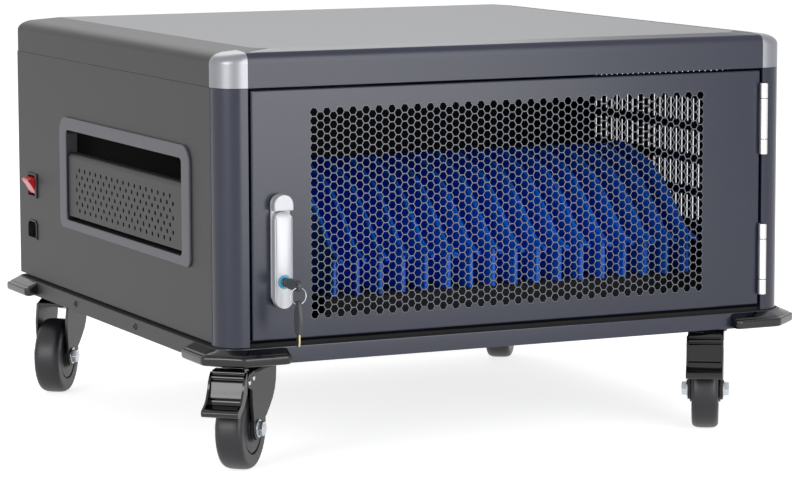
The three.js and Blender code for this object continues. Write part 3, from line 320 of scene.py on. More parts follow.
# Finishes. Each line: colour, metallic, roughness, IOR, grain in millimetres, depth of the grain in
# millimetres, share by which the colour drifts.
FINISHES = {
    # Baked polyester powder coat on steel: a fine orange peel breaks up its half-matt sheen
    "powder coat graphite": ("body", 0, 0.5, 1.5, 0.9, 0.012, 0.06),
    # The lid's top and front are smoother, so they mirror the room at a low angle; they also take
    # the front's bluer, paler colour, painted light against the lid's darker sides
    "powder coat graphite, lid, lit copy": ("front", 0, 0.3, 1.5, 1.2, 0.008, 0.06),
    # The same coat on the door side, a little bluer and paler: painted light from the front,
    # against the darker sides
    "powder coat slate": ("front", 0, 0.24, 1.5, 0.9, 0.012, 0.06),
    # The same coat on the punched webs, painted paler: a painted highlight for the light that their
    # rounded edges catch, so the mesh reads lighter
    "powder coat on webs, painted edge highlight": ("mesh", 0, 0.3, 1.5, 0.6, 0.008, 0.08),
    # Matt black coat inside and in the base's reveal: a painted shade with almost no sheen, so the
    # bays and the reveal stay dark
    "powder coat black": ("#0d0d0f", 0, 0.85, 1.5, 1.1, 0.012, 0.08),
    # Black cathodic paint on pressed steel forks: thin and half gloss, it follows the sheet
    "black dip paint": ("#121214", 0, 0.42, 1.5, 1.4, 0.01, 0.1),
    # Silver lacquer with fine flakes, baked on the zinc casting of the handle: pale from every side
    "silver lacquer, pale": ("#b9bbc0", 0.25, 0.3, 1.5, 0.5, 0.004, 0.04),
    # Silver lacquer on the lid's corner caps: greyer and softer than the handle
    "silver lacquer, grey": ("#8f9095", 1, 0.4, 1.5, 0.7, 0.008, 0.05),
    # Bright zinc plate: cool, slightly cloudy
    "bright zinc plate": ("#c9ced4", 1, 0.24, 1.5, 1.2, 0.01, 0.1),
    # Nickel plated and tumbled hinge barrels: pale, soft reflections
    "tumbled nickel plate": ("#dddedd", 1, 0.34, 1.5, 0.8, 0.008, 0.06),
    # Turned brass of a key blade
    "turned brass": ("#cfc29c", 1, 0.26, 1.5, 0.4, 0.004, 0.08),
    # Polished black ABS mouldings: deep black with sharp highlights
    "polished black ABS": ("#08080a", 0, 0.13, 1.53, 2.5, 0.01, 0.1),
    # Spark-eroded black ABS mouldings: fine grain, dull
    "grained black ABS": ("#0b0b0c", 0, 0.5, 1.53, 0.5, 0.02, 0.08),
    # The same ABS in dark grey for the handle's frame: paler than the painted side round it
    "grained grey ABS": ("frame", 0, 0.48, 1.53, 0.6, 0.015, 0.06),
    # Nylon key heads, dark grey
    "grained nylon": ("#3a3b40", 0, 0.5, 1.53, 0.5, 0.015, 0.06),
    # Polypropylene dividers in blue: waxy and a little see-through
    "blue polypropylene": ("dividers", 0, 0.36, 1.49, 1.0, 0.01, 0.06),
    # Polycarbonate rocker in red, smooth
    "red polycarbonate": ("rocker", 0, 0.2, 1.58, 3.0, 0.004, 0.04),
    # Acetal lock ring in light blue
    "cyan acetal": ("lock_ring", 0, 0.28, 1.48, 1.0, 0.006, 0.04),
    # Thermoplastic rubber tyre: fine scuffs round the tread leave it a dusty dark grey
    "scuffed tyre rubber": ("#17161b", 0, 0.42, 1.52, 1.6, 0.05, 0.16),
}
# Stretch of the grain along x, y, z, for the one finish that was cut lengthwise
STRETCHED = {"turned brass": (1, 1, 4)}


def add_node(tree, kind, values, links=()):
    """Adds one node: values are settings or, by name or number, inputs; links feed inputs."""
    node = tree.nodes.new(kind)
    for key, value in values.items():
        if isinstance(key, str) and hasattr(node, key):
            setattr(node, key, value)
        else:
            node.inputs[key].default_value = value
    for key, source in dict(links).items():
        tree.links.new(source, node.inputs[key])
    return node


def bare_tree(owner):
    """The node tree of a material or world, emptied."""
    owner.use_nodes = True
    owner.node_tree.nodes.clear()
    return owner.node_tree


def finish(name):
    """The material of one finish, made the first time it is asked for."""
    if name in bpy.data.materials:
        return bpy.data.materials[name]
    code, metallic, roughness, ior, grain, depth, drift = FINISHES[name]
    made = bpy.data.materials.new(name)
    tree = bare_tree(made)
    colours = bpy.context.scene.cabinet_colours
    red, green, blue = getattr(colours, code) if hasattr(colours, code) else linear(code)
    place = add_node(tree, "ShaderNodeTexCoord", {})
    stretched = add_node(
        tree, "ShaderNodeMapping", {"Scale": STRETCHED.get(name, (1, 1, 1))},
        {"Vector": place.outputs["Object"]},
    )
    peel = add_node(
        tree, "ShaderNodeTexNoise", {"Scale": 1 / (grain * MM), "Detail": 2.0, "Roughness": 0.5},
        {"Vector": stretched.outputs["Vector"]},
    )
    clouds = add_node(
        tree, "ShaderNodeTexNoise", {"Scale": 1 / (90 * MM), "Detail": 3.0, "Roughness": 0.6},
        {"Vector": place.outputs["Object"]},
    )
    darker, lighter = (
        (red * share, green * share, blue * share, 1) for share in (1 - drift, 1 + drift))
    tone = add_node(
        tree, "ShaderNodeMix", {"data_type": "RGBA", 6: darker, 7: lighter},
        {0: clouds.outputs["Fac"]},
    )
    gloss = add_node(
        tree, "ShaderNodeMapRange",
        {"To Min": roughness * 0.92, "To Max": roughness * 1.08}, {"Value": peel.outputs["Fac"]},
    )
    bump = add_node(
        tree, "ShaderNodeBump", {"Strength": 1.0, "Distance": depth * MM},
        {"Height": peel.outputs["Fac"]},
    )
    shader = add_node(
        tree, "ShaderNodeBsdfPrincipled", {"Metallic": metallic, "IOR": ior},
        {"Base Color": tone.outputs[2], "Roughness": gloss.outputs["Result"],
         "Normal": bump.outputs["Normal"]},
    )
    if name == "blue polypropylene":
        shader.inputs["Subsurface Weight"].default_value = 0.15
        shader.inputs["Subsurface Radius"].default_value = (0.2, 0.5, 1.0)
        shader.inputs["Subsurface Scale"].default_value = 3 * MM
    add_node(tree, "ShaderNodeOutputMaterial", {}, {"Surface": shader.outputs["BSDF"]})
    return made


def refinish(node, name):
    """Gives a CAD node that stays visible its finish, with its edges softened."""
    shown = frame["nodes"][node]
    shown.data.materials.clear()
    shown.data.materials.append(finish(name))
    bevel = shown.modifiers.new("rounded edges", "BEVEL")
    bevel.width, bevel.segments = 0.4 * MM, 2
    bevel.limit_method, bevel.angle_limit = "ANGLE", math.radians(40)


# Shell: lid, corner caps, posts, base and the slotted side

def lid_ring(side_inset, front_inset, offset, level):
    """Outline of the lid at one level, drawn in by its insets and by the sheet's offset."""
    x = HALF - side_inset - offset
    y0, y1 = front_inset + offset, DEPTH - front_inset - offset
    return along("z", rounded(-x, x, y0, y1, CORNER - offset, 3, steps=24), level)


def lid_skin(offset):
    """Rings of the lid's skin: upright rim, round shoulder, then a slope up to its flat top."""
    tall = LID_HIGH - LID_LOW
    shrink = (tall - offset) / tall
    rings = [lid_ring(0, 0, offset, LID_LOW)]
    rim, shoulder, steps = 22, 10.6, 32
    for i in range(steps + 1):
        turn = math.radians(80.4) * i / steps
        closing = 1 - math.cos(turn)
        level = LID_LOW + (rim + shoulder * math.sin(turn)) * shrink
        rings.append(lid_ring(18 * closing, 6 * closing, offset, level))
    return [*rings, lid_ring(42, 15, offset, LID_LOW + tall * shrink)]


def cap_space(side, clearance):
    """The room of one corner cap, cut out of the lid's skin with its clearance."""
    x0, x1 = sorted((side * (POST_EDGE - clearance), side * (HALF + 2)))
    return block(x0, x1, -2, POST_DEPTH + clearance, LID_LOW - 2, LID_HIGH + 2)


def post_form(side):
    """Rolled post with a flute outside, a return beside the door and a stop flange."""
    wall, stop, flange = 2, 18, 9
    outer = arc(HALF - CORNER, CORNER, CORNER, 0, -90, 18)
    inner = arc(HALF - CORNER, CORNER, CORNER - wall, -90, 0, 18)
    flute = [
        (HALF - 0.8 * math.sin(math.pi * t / 4), POST_DEPTH - 1.3 - 2.2 * t / 4) for t in range(5)]
    points = [
        (HALF, POST_DEPTH), *flute, *outer, (POST_EDGE, 0), (POST_EDGE, stop),
        (POST_EDGE - flange, stop), (POST_EDGE - flange, stop + wall),
        (POST_EDGE + wall, stop + wall), (POST_EDGE + wall, wall), *inner,
        (HALF - wall, POST_DEPTH),
    ]
    return prism("z", [(side * x, y) for x, y in points], BASE_HIGH + GAP, PANEL_HIGH)


def base_form():
    """Base tray: skirt with a rolled upper edge; set-in plinth, folded lip and floor in black, a
    painted shadow for the reveal under the panels.
    """
    def ring(offset, level, back):
        grown = HALF + offset
        front = max(2, CORNER + offset)
        outline = rounded(-grown, grown, -offset, DEPTH + offset, front, back, steps=10)
        return along("z", outline, level)

    proud, inset, lip = BASE_PROUD, -5, BASE_PROUD - 22
    plinth = PANEL_LOW - GAP
    rings = [
        ring(proud - 0.6, BASE_LOW, 13.4), ring(proud, BASE_LOW + 0.6, 14),
        ring(proud, BASE_HIGH - 1.2, 14), ring(proud - 0.35, BASE_HIGH - 0.35, 13.6),
        ring(proud - 1.2, BASE_HIGH, 12.8), ring(inset, BASE_HIGH, 5), ring(inset, plinth, 5),
        ring(lip, plinth, 2), ring(lip, BASE_HIGH - 2, 2), ring(proud - 2, BASE_HIGH - 2, 12),
        ring(proud - 2, BASE_LOW + 2, 12),
    ]
    made = loft(rings)
    count = len(rings[0])
    # Painted shadow: from the shelf inwards the tray takes the black coat, for the shade in the
    # reveal under the panels
    made.marks[4 * count:] = [2] * (6 * count) + [0, 2]
    return made


def screw_form(radius, proud, socket):
    """Button-head screw along z with a hexagon socket."""
    sides = 24
    dome = [(1, 0), (1, 0.35), (0.86, 0.8), (0.62, 1)]
    rings = [along("z", circle(0, 0, radius * r, sides), proud * z) for r, z in dome]
    inner = []
    for i in range(sides):
        angle = 2 * math.pi * i / sides
        reach = socket / math.cos((angle + math.pi / 6) % (math.pi / 3) - math.pi / 6)
        inner.append((reach * math.cos(angle), reach * math.sin(angle)))
    rings += [along("z", inner, proud), along("z", inner, proud * 0.25)]
    return loft(rings)


def caster_plate_form(x, y):
    """Caster top plate with four bolts and the riveted kingpin head under the fork."""
    low, half, bolts = BASE_LOW - CASTER_PLATE, 32, 24
    made = prism("z", rounded(x - half, x + half, y - half, y + half, 6), low, BASE_LOW + 1)
    for sx in (-1, 1):
        for sy in (-1, 1):
            bolt = prism("z", circle(0, 0, 5.6, 6), low - 3.6, low + 0.5)
            washer = prism("z", circle(0, 0, 7.4, 24), low - 0.9, low + 0.5)
            matrix = Matrix.Translation((x + sx * bolts, y + sy * bolts, 0))
            made.take(bolt, matrix, 1).take(washer, matrix, 1)
    web = low - 2 * GAP - 12
    pin = [(8, low + 0.5), (8, web - 1), (11, web), (11, web - 1.4), (8, web - 3)]
    return made.take(revolved(pin, 32), Matrix.Translation((x, y, 0)), 1)


def slotted_side_form():
    """Right side: one folded sheet with five rows of narrow upright slots."""
    y0, y1 = POST_DEPTH + GAP, DEPTH - SHEET - GAP
    inner = HALF - SHEET
    slot_half, slot_tall, row_pitch, column_pitch = 1.95, 25.5, 33.7, 11.7
    holes = []
    for row in range(5):
        low = PANEL_LOW + 66.6 + row_pitch * row
        for column in range(29):
            y = 62.7 + column_pitch * column
            holes.append(
                rounded(y - slot_half, y + slot_half, low, low + slot_tall, 1.8, steps=3))
    outline = [(y0, PANEL_LOW), (y1, PANEL_LOW), (y1, PANEL_HIGH), (y0, PANEL_HIGH)]
    made = plate("x", outline, holes, inner, HALF)
    for low in (PANEL_LOW, PANEL_HIGH - SHEET):
        made.take(block(HALF - 14, inner, y0, y1, low, low + SHEET))
    return made


class CABINET_OT_shell(bpy.types.Operator):
    """Make the lid with its corner caps, the posts, the base and the slotted side"""
    bl_idname = "cabinet.shell"
    bl_label = "Shell"
    bl_options = {"REGISTER", "UNDO"}

    def execute(self, context):
        inner = lid_skin(SHEET)
        inner[0] = [(x, y, LID_LOW) for x, y, z in inner[0]]
        skin = loft(list(reversed(inner)) + lid_skin(0))
        spaces = cap_space(-1, GAP).take(cap_space(1, GAP))
        # The lid's top and front take the paler, bluer copy of its coat and its sides the darker
        # one: painted light and shade
        paint_side_shade(piece(
            "lid_pan", carved(skin, spaces, "DIFFERENCE"), "cabinet",
            ["powder coat graphite, lid, lit copy", "powder coat graphite"], ["lid"],
            sharp=5), 0.05)
        for side, name in ((-1, "left"), (1, "right")):
            cap = carved(skin, cap_space(side, 0), "INTERSECT")
            piece(f"lid_corner_{name}", cap, "cabinet", ["silver lacquer, grey"],
                  [f"lid_cap_{name}"], sharp=5)
            piece(f"corner_post_{name}", post_form(side), "cabinet", ["powder coat slate"],
                  [f"post_front_{name}"], rounding=0.25, sharp=40)
        # The base's front takes the paler, bluer copy of the coat and its sides the darker one:
        # painted light and shade
        paint_side_shade(piece(
            "base_pan", base_form(), "cabinet",
            ["powder coat slate", "powder coat graphite", "powder coat black"],
            ["base_tray"], sharp=40), 0.7)
        mounts = Form()
        for corner in CORNERS:
            pivot = drawn(joint(f"caster_swivel_{corner}")["pos_m"])
            mounts.take(caster_plate_form(pivot.x, pivot.y))
        piece("caster_plates", mounts, "cabinet", ["black dip paint", "bright zinc plate"],
              rounding=0.4)
        screws = Form()
        middle = (BASE_LOW + BASE_HIGH) / 2
        for side in (-1, 1):
            turn = Matrix.Rotation(math.radians(90 * side), 4, "Y")
            for share in (0.38, 0.68):
                screws.take(screw_form(3.4, 1.5, 1.5), Matrix.Translation(
                    (side * (HALF + BASE_PROUD - 0.1), share * DEPTH, middle)) @ turn)
        piece("skirt_screws", screws, "cabinet", ["black dip paint"],
              rounding=0.15)
        piece("side_slotted", slotted_side_form(), "cabinet", ["powder coat graphite"],
              ["side_panel_right"], sharp=40)
        # The bay tray and the bulkhead take the black coat: painted shade inside the bays
        for node, name in (
            ("side_panel_left", "powder coat graphite"), ("back_panel", "powder coat graphite"),
            ("bay_tray", "powder coat black"), ("rear_bulkhead", "powder coat black"),
            ("charger_unit", "grained black ABS"), ("latch_spindle", "bright zinc plate"),
        ):
            refinish(node, name)
        return {"FINISHED"}


# Side handle, switch and inlet, on the left side

def bezel_form():
    """Raised frame round the handle, with rounded lips and a collar through the panel."""
    y0, y1, z0, z1 = span("handle_bezel")[2:6]
    o0, o1, w0, w1 = y0 + 20, y1 - 20, z0 + 9, z1 - 13

    def outer(inset, proud):
        outline = rounded(
            y0 + inset, y1 - inset, z0 + inset, z1 - inset, 8 - inset, 18 - inset, steps=8)
        return along("x", outline, -HALF - proud)

    def opening(grow, proud):
        outline = rounded(o0 - grow, o1 + grow, w0 - grow, w1 + grow, 5 + grow, steps=8)
        return along("x", outline, -HALF - proud)

    made = loft([
        outer(0, GAP), outer(0, 1.7), outer(0.25, 2.25), outer(0.9, 2.5),
        opening(0.9, 2.5), opening(0.25, 2.25), opening(0, 1.6),
        opening(0, -10), opening(2, -10), opening(2, GAP),
    ], closed=True)
    # The collar from the lip inwards takes the black ABS: painted shade for the dark inside of the
    # opening
    count = len(made.faces) // 10
    made.marks[6 * count:] = [1] * (4 * count)
    return made


def grip_form():
    """Perforated plate whose upper edge is rolled inwards for the fingers."""
    y0, y1, z0, z1 = span("handle_grip_plate")[2:6]
    bend = z1 - 5
    holes = []
    first, last, gaps, radius = 123, 393, 17, 2.3
    top_row, row_pitch = 247.4, 6.87
    for row in range(7):
        shift = 0 if row % 2 else 0.5
        for column in range(gaps + row % 2):
            y = first + (last - first) * (column + shift) / gaps
            holes.append(circle(y, top_row - row_pitch * row, radius, 12))
    made = plate("x", [(y0, z0), (y1, z0), (y1, bend), (y0, bend)], holes, -HALF, -HALF + 0.8)
    outer = [(-HALF, bend), *arc(-HALF + 5, bend, 5, 180, 90, 6),
             *arc(-HALF + 9, bend + 1, 4, 90, 0, 6)]
    inner = [(-HALF + 13 - SHEET, z1 - 7), *arc(-HALF + 9, bend + 1, 2.5, 0, 90, 6),
             *arc(-HALF + 5, bend, 3.5, 90, 180, 6)]
    return made.take(prism("y", [*outer, (-HALF + 13, z1 - 7), *inner], y0, y1))


def fitting_form(outlines, levels):
    """Framed fitting in the left side: outlines from its back, over its lip, to its floor."""
    return loft([along("x", outline, -HALF + level) for outline, level in zip(outlines, levels)])


def switch_form():
    """Housing of the rocker switch, with the well that the rocker tilts in."""
    y0, y1, z0, z1 = span("switch_housing")[2:6]
    middle, level = (y0 + y1) / 2, (z0 + z1) / 2

    def outline(inset, radius):
        return rounded(y0 + inset, y1 - inset, z0 + inset, z1 - inset, radius, steps=4)

    def cavity(grow):
        wide, tall = 10.5 + grow, 10.6 + grow
        return rounded(middle - wide, middle + wide, level - tall, level + tall, 0.8, steps=4)

    return fitting_form(
        [outline(1.4, 0.8), outline(1.4, 0.8), outline(0, 2), outline(0, 2), outline(0.5, 1.6),
         cavity(0.5), cavity(0), cavity(0)],
        [16, -GAP, -GAP, -1.4, -2, -2, -1.5, 14.5],
    )


def inlet_form():
    """Mains inlet: a bevelled well with its three flat pins."""
    y0, y1, z0, z1 = span("power_inlet")[2:6]

    def outline(inset, cut):
        a0, a1, b0, b1 = y0 + inset, y1 - inset, z0 + inset, z1 - inset
        return [(a0, b0), (a1, b0), (a1, b1 - cut), (a1 - cut, b1), (a0 + cut, b1), (a0, b1 - cut)]

    made = fitting_form(
        [outline(0.7, 4), outline(0.7, 4), outline(0, 4), outline(0, 4), outline(0.4, 3.8),
         outline(1.5, 3.7), outline(1.7, 3.7), outline(1.7, 3.7)],
        [24, -GAP, -GAP, -1.1, -1.5, -1.5, -1.3, 21],
    )
    middle, level = (y0 + y1) / 2, (z0 + z1) / 2 - 1.8
    for place in (-1, 0, 1):
        y, z = middle + 7 * place, level + (3.6 if place == 0 else 0)
        made.take(block(-HALF + 9, -HALF + 21.5, y - 1, y + 1, z - 2, z + 2), mark=1)
    return made


def rocker_form():
    """Rocker with a hollow front, resting with its upper half out."""
    out = (0.5, 1.15, 1.1, 0.72, 0.4, 0.14, -0.5, -0.6, -0.5)
    up = (1, 0.72, 0.58, 0.1, -0.45, -1, -0.95, 0, 0.95)
    y0, y1 = span("rocker")[2:4]
    level = joint("rocker_tilt")["pos_m"][2] / MM
    outline = [(-HALF + 1 - 9 * a, level + 9 * b) for a, b in zip(out, up)]
    made = prism("y", outline, y0 + 1.6, y1 - 1.6)
    return made.take(prism("y", circle(-HALF + 1, level, 1.2, 16), y0, y1))


class CABINET_OT_fittings(bpy.types.Operator):
    """Make the side handle, the rocker switch and the mains inlet"""
    bl_idname = "cabinet.fittings"
    bl_label = "Side fittings"
    bl_options = {"REGISTER", "UNDO"}

    def execute(self, context):
        piece("bezel", bezel_form(), "cabinet", ["grained grey ABS", "grained black ABS"],
              ["handle_bezel"], sharp=50)
        piece("grip", grip_form(), "cabinet", ["powder coat graphite"],
              ["handle_grip_plate"])
        piece("switch_frame", switch_form(), "cabinet", ["grained black ABS"],
              ["switch_housing"])
        piece("switch_rocker", rocker_form(), "switch_rocker", ["red polycarbonate"], ["rocker"],
              rounding=0.6, segments=3)
        piece("mains_inlet", inlet_form(), "cabinet", ["grained black ABS", "tumbled nickel plate"],
              ["power_inlet"], rounding=0.2)
        return {"FINISHED"}


# Corner bumpers

def bumper_form(side, back):
    """Moulded bumper: a rolled section swept round the corner, from the skirt to its outer line."""
    skirt, out = BASE_PROUD + GAP, BASE_PROUD + GAP + 13
    radius = 14 if back else CORNER + BASE_PROUD
    side_end, face_start = (3, 11) if back else (10, 14)
    cx, cy = HALF + skirt - radius, radius - skirt
    edge = Vector((side_end + out, face_start + out)).normalized()
    chamfer = (HALF + out - cx) * edge.x + (cy - side_end) * edge.y
    stations = []
    for y in (65, 64.2, 62.4, 59.5, cy + 2):
        stations.append(((HALF + skirt, y), (HALF + out, y)))
    for i in range(31):
        turn = math.radians(3 * i)
        c, s = math.cos(turn), math.sin(turn)
        # The nearest of three flats, with the corners between them softened
        reaches = [chamfer / max(0.05, c * edge.x + s * edge.y)]
        reaches += [(HALF + out - cx) / max(c, 0.02), (cy + out) / max(s, 0.02)]
        soft = 0.7
        reach = -soft * math.log(sum(math.exp(-(r - chamfer) / soft) for r in reaches)) + chamfer
        stations.append(((cx + radius * c, cy - radius * s), (cx + reach * c, cy - reach * s)))
    for x in (cx - 2, HALF - 57, HALF - 60, HALF - 61.9, HALF - 62.7):
        stations.append(((x, -skirt), (x, -out)))
    section = [
        (0, 0.1), (0.7, 0), (0.86, 0.04), (0.96, 0.12), (1, 0.24), (1, 0.6), (0.98, 0.7),
        (0.92, 0.78), (0.84, 0.81), (0.78, 0.815), (0.74, 0.84), (0.7, 0.9), (0.62, 0.95),
        (0.35, 1.1), (0, 1.28),
    ]
    ends = {0: 0.55, 1: 0.82, 2: 0.95}
    low, tall = BASE_LOW + 0.5, 11.5
    rings = []
    for i, (inner, outer) in enumerate(stations):
        size = ends.get(min(i, len(stations) - 1 - i), 1)
        ring = []
        for along_share, up_share in section:
            reach = along_share * size
            rise = 0.5 + (up_share - 0.5) * (0.4 + 0.6 * size)
            x = inner[0] + (outer[0] - inner[0]) * reach
            y = inner[1] + (outer[1] - inner[1]) * reach
            ring.append((side * x, DEPTH - y if back else y, low + tall * rise))
        rings.append(ring)
    return loft(rings)


class CABINET_OT_bumpers(bpy.types.Operator):
    """Make the four corner bumpers"""
    bl_idname = "cabinet.bumpers"
    bl_label = "Bumpers"
    bl_options = {"REGISTER", "UNDO"}

    def execute(self, context):
        for corner in CORNERS:
            side = -1 if "left" in corner else 1
            piece(f"corner_bumper_{corner}", bumper_form(side, "back" in corner), "cabinet",
                  ["polished black ABS"], [f"bumper_{corner}"], sharp=50)
        return {"FINISHED"}


# Door with its hexagon mesh

def door_outline(inset, radius):
    return rounded(-DOOR_HALF + inset, DOOR_HALF - inset, DOOR_LOW + inset, DOOR_HIGH - inset,
                   radius, steps=3)


def mesh_field(sizes, turn_x, turn_z, spindle_radius):
    """Flat face of the door: hexagon openings in webs, and the plain border that holds them."""
    pitch_x, pitch_z = sizes.mesh_column / MM, sizes.mesh_row / MM
    keep = 1 - (sizes.mesh_web / MM) / pitch_z
    flat = bmesh.new()
    found = {}

    def corner(x, z):
        key = (round(x, 2), round(z, 2))
        if key not in found:
            found[key] = flat.verts.new((x, z, 0))
        return found[key]

    columns, first_x, first_z = 63, -207.6, 333.8
    for column in range(columns):
        odd = column % 2
        x = first_x + pitch_x * column
        for row in range(24 - odd):
            z = first_z - pitch_z * (row + odd / 2)
            outer = []
            for share_x, share_z in ((2, 0), (1, 1), (-1, 1), (-2, 0), (-1, -1), (1, -1)):
                outer.append((share_x * pitch_x / 3, share_z * pitch_z / 2))
            rim = [corner(x + a, z + b) for a, b in outer]
            hole = [flat.verts.new((x + a * keep, z + b * keep, 0)) for a, b in outer]
            for i in range(6):
                # The webs take the door's second finish, painted paler as a highlight on their
                # rounded edges
                flat.faces.new([rim[i - 1], rim[i], hole[i], hole[i - 1]]).material_index = 1
    for edge in flat.edges:
        ends = [(round(v.co.x, 2), round(v.co.y, 2)) for v in edge.verts]
        edge.tag = not all(end in found for end in ends)
    border = door_outline(2, 0.6)
    return filled([border, circle(turn_x, turn_z, spindle_radius, 24)], flat), border


def door_form(sizes):
    """Door pan: mesh face, rolled edge and a return all round."""
    pivot = drawn(joint("handle_turn")["pos_m"])
    flat, border = mesh_field(sizes, pivot.x, pivot.z, 5.3)
    face = 0.8
    made = thickened(flat, "y", 0, face, skip=border)

    deep = span("door_panel")[3]
    rings = [
        (2, 0.6, 0), (1.2, 0.7, 0.17), (0.55, 0.9, 0.58), (0.15, 1.1, 1.2), (0, 1.2, 2),
        (0, 1.2, deep), (SHEET, 0.5, deep), (SHEET, 0.5, 2.2), (2, 0.6, face),
    ]
    return made.take(loft(
        [along("y", door_outline(inset, radius), y) for inset, radius, y in rings], caps=False))


class CABINET_OT_door(bpy.types.Operator):
    """Make the door with its hexagon mesh"""
    bl_idname = "cabinet.door"
    bl_label = "Door"
    bl_options = {"REGISTER", "UNDO"}

    def execute(self, context):
        piece("door_pan", door_form(context.scene.cabinet_sizes), "door",
              ["powder coat slate", "powder coat on webs, painted edge highlight"], ["door_panel"], sharp=30)
        return {"FINISHED"}


# Hinges

def knuckle_form(x, y, low, high):
    """One knuckle of a hinge barrel, with rounded ends."""
    rings = [(3.4, low), (3.85, low + 0.25), (4, low + 0.7),
             (4, high - 0.7), (3.85, high - 0.25), (3.4, high)]
    return Form().take(revolved(rings, 32), Matrix.Translation((x, y, 0)))


def hinge_forms(which):
    """Door half and frame half of one hinge: leaves in the door gap and the barrel's knuckles."""
    axis = drawn(joint("door_swing")["pos_m"])
    low, high = span(f"hinge_{which}_frame_leaf")[4:6]
    middle, half = (low + high) / 2, 20
    x_door = DOOR_HALF + GAP + 0.35
    x_frame = POST_EDGE - GAP - 0.35
    door, hold = Form(), Form()
    for form, x, spans in (
        (door, x_door, [(middle - half + 0.15, middle + half - 0.15)]),
        (hold, x_frame, [(low, middle - half - 0.15), (middle + half + 0.15, high)]),
    ):
        form.take(block(x - 0.35, x + 0.35, GAP, 13, low, high))
        for start, end in spans:
            form.take(block(x - 0.35, x + 0.35, axis.y, GAP, start, end))
            form.take(knuckle_form(axis.x, axis.y, start, end))
    return door, hold


class CABINET_OT_hinges(bpy.types.Operator):
    """Make the two hinges"""
    bl_idname = "cabinet.hinges"
    bl_label = "Hinges"
    bl_options = {"REGISTER", "UNDO"}

    def execute(self, context):
        for which in ("upper", "lower"):
            door, hold = hinge_forms(which)
            piece(f"hinge_{which}_on_door", door, "door", ["tumbled nickel plate"],
                  [f"hinge_{which}_door_leaf"], sharp=40)
            piece(f"hinge_{which}_on_post", hold, "cabinet", ["tumbled nickel plate"],
                  [f"hinge_{which}_frame_leaf"], sharp=40)
        return {"FINISHED"}


# Swing handle, lock and keys

def stadium(x, width, low, high):
    """An upright outline with round ends."""
    return rounded(x - width / 2, x + width / 2, low, high, width / 2 - 0.05, steps=10)


def lever_crown():
    """Top of the lever: its round end is turned about the pivot, and the CAD has a slot there."""
    return drawn(joint("handle_turn")["pos_m"]).z + 9


def lock_plate_form():
    """Escutcheon with a raised round head over the top of the lever."""
    x0, x1, y0, y1, z0, z1 = span("lock_plate")
    x = (x0 + x1) / 2
    plate_front = -GAP - 3
    made = prism("y", stadium(x, x1 - x0, z0, z1), plate_front, -GAP)
    cut = lever_crown() + 0.6
    outline = [(a, b) for a, b in stadium(x, x1 - x0, z0, z1) if b > cut]
    outline.sort(key=lambda p: math.atan2(p[1] - cut, p[0] - x))
    return made.take(prism("y", [(x0, cut), (x1, cut), *outline], y0, plate_front + 0.2))


def lever_form():
    """Lever with rounded sides, a fine groove along each and a crowned face between them."""
    x0, x1, y0, y1, z0 = span("lock_lever")[:5]
    z1 = lever_crown()
    x, half = (x0 + x1) / 2, (x1 - x0) / 2
    flank = [(0, 2.6), (0.15, 1.9), (0.55, 1.3), (1.1, 1.02), (1.35, 1.0), (1.4, 1.7),
             (1.75, 1.7), (1.8, 1.05)]
    across = [(half - inset, y0 + deep) for inset, deep in [(0, y1 - y0), *flank]]
    reach = half - 1.8
    for step in range(1, 8):
        share = 1 - step / 8
        across.append((reach * share, y0 + 1.05 * share * share))
    section = [(x - a, y) for a, y in across] + [(x, y0)]
    section += [(x + a, y) for a, y in reversed(across)]
    # Its top slopes away in front and behind, so that it clears the escutcheon's head when it lifts
    nose, heel = 4.2, 1.6
    back = y1 - 0.01
    side_view = [
        (y0 - 1, z0 - 1), (back, z0 - 1), (back, z1 - 2 * heel), (y1 - heel, z1 + 0.01),
        (y0 + nose, z1 + 0.01), (y0, z1 - 2 * nose), (y0 - 1, z1 - 2 * nose),
    ]
    made = carved(prism("z", section, z0 - 1, z1 + 1),
                  prism("y", stadium(x, x1 - x0 - 0.02, z0, z1), y0 - 1, back), "INTERSECT")
    made = carved(made, prism("x", side_view, x0 - 1, x1 + 1), "INTERSECT")
    core = drawn(joint("key_turn")["pos_m"])
    return carved(made, prism("y", circle(core.x, core.z, 6.3, 32), y0 - 1, y1 + 1), "DIFFERENCE")


def lock_core_form():
    """Lock face: light blue ring round a metal plug with its keyway."""
    x0, x1, y0, y1, z0, z1 = span("lock_cylinder")
    x, z = (x0 + x1) / 2, (z0 + z1) / 2
    tall = y1 - y0
    ring = [(6, 0), (6, tall - 0.5), (5.7, tall), (4.4, tall), (4.2, tall - 0.5), (4.2, 0)]
    turn = Matrix.Translation((x, y1, z)) @ Matrix.Rotation(math.radians(90), 4, "X")
    made = Form().take(revolved(ring, 32, closed=True), turn)
    keyway = rounded(x - 1.3, x + 1.3, z - 3.7, z + 3.7, 0.3)
    return made.take(plate("y", circle(x, z, 4.15, 32), [keyway], y0 + 0.4, y1), mark=1)


def key_form(shoulder, broad):
    """A key down the z axis: a waisted head with its eye, and the blade beyond its shoulder."""
    half = [(3.9, shoulder), (broad - 1.2, shoulder - 5), (broad, shoulder - 11),
            (broad - 0.2, -22), (5, -30), (3.4, -34), (1.2, -35)]
    outline = smoothed([*half, *((-a, b) for a, b in reversed(half))], 3)
    head = plate("x", outline, [circle(0, -30.4, 2.6, 20)], -1.8, 1.8)
    blade = [(-2.9, -6), (2.9, -6), (2.9, 3.6), (1.6, 7.5), (-2.9, 7.5)]
    return head.take(prism("x", blade, -0.8, 0.8), mark=1)


def ring_form():
    """Split ring: two turns of wire side by side, round the y axis."""
    made = Form()
    radius, wire_radius, apart = 7.7, 0.36, 0.33
    for place in (-apart, apart):
        wire = [(radius + a, b + place) for a, b in circle(0, 0, wire_radius, 8)]
        made.take(revolved(wire, 48, closed=True), Matrix.Rotation(math.radians(90), 4, "X"))
    return made


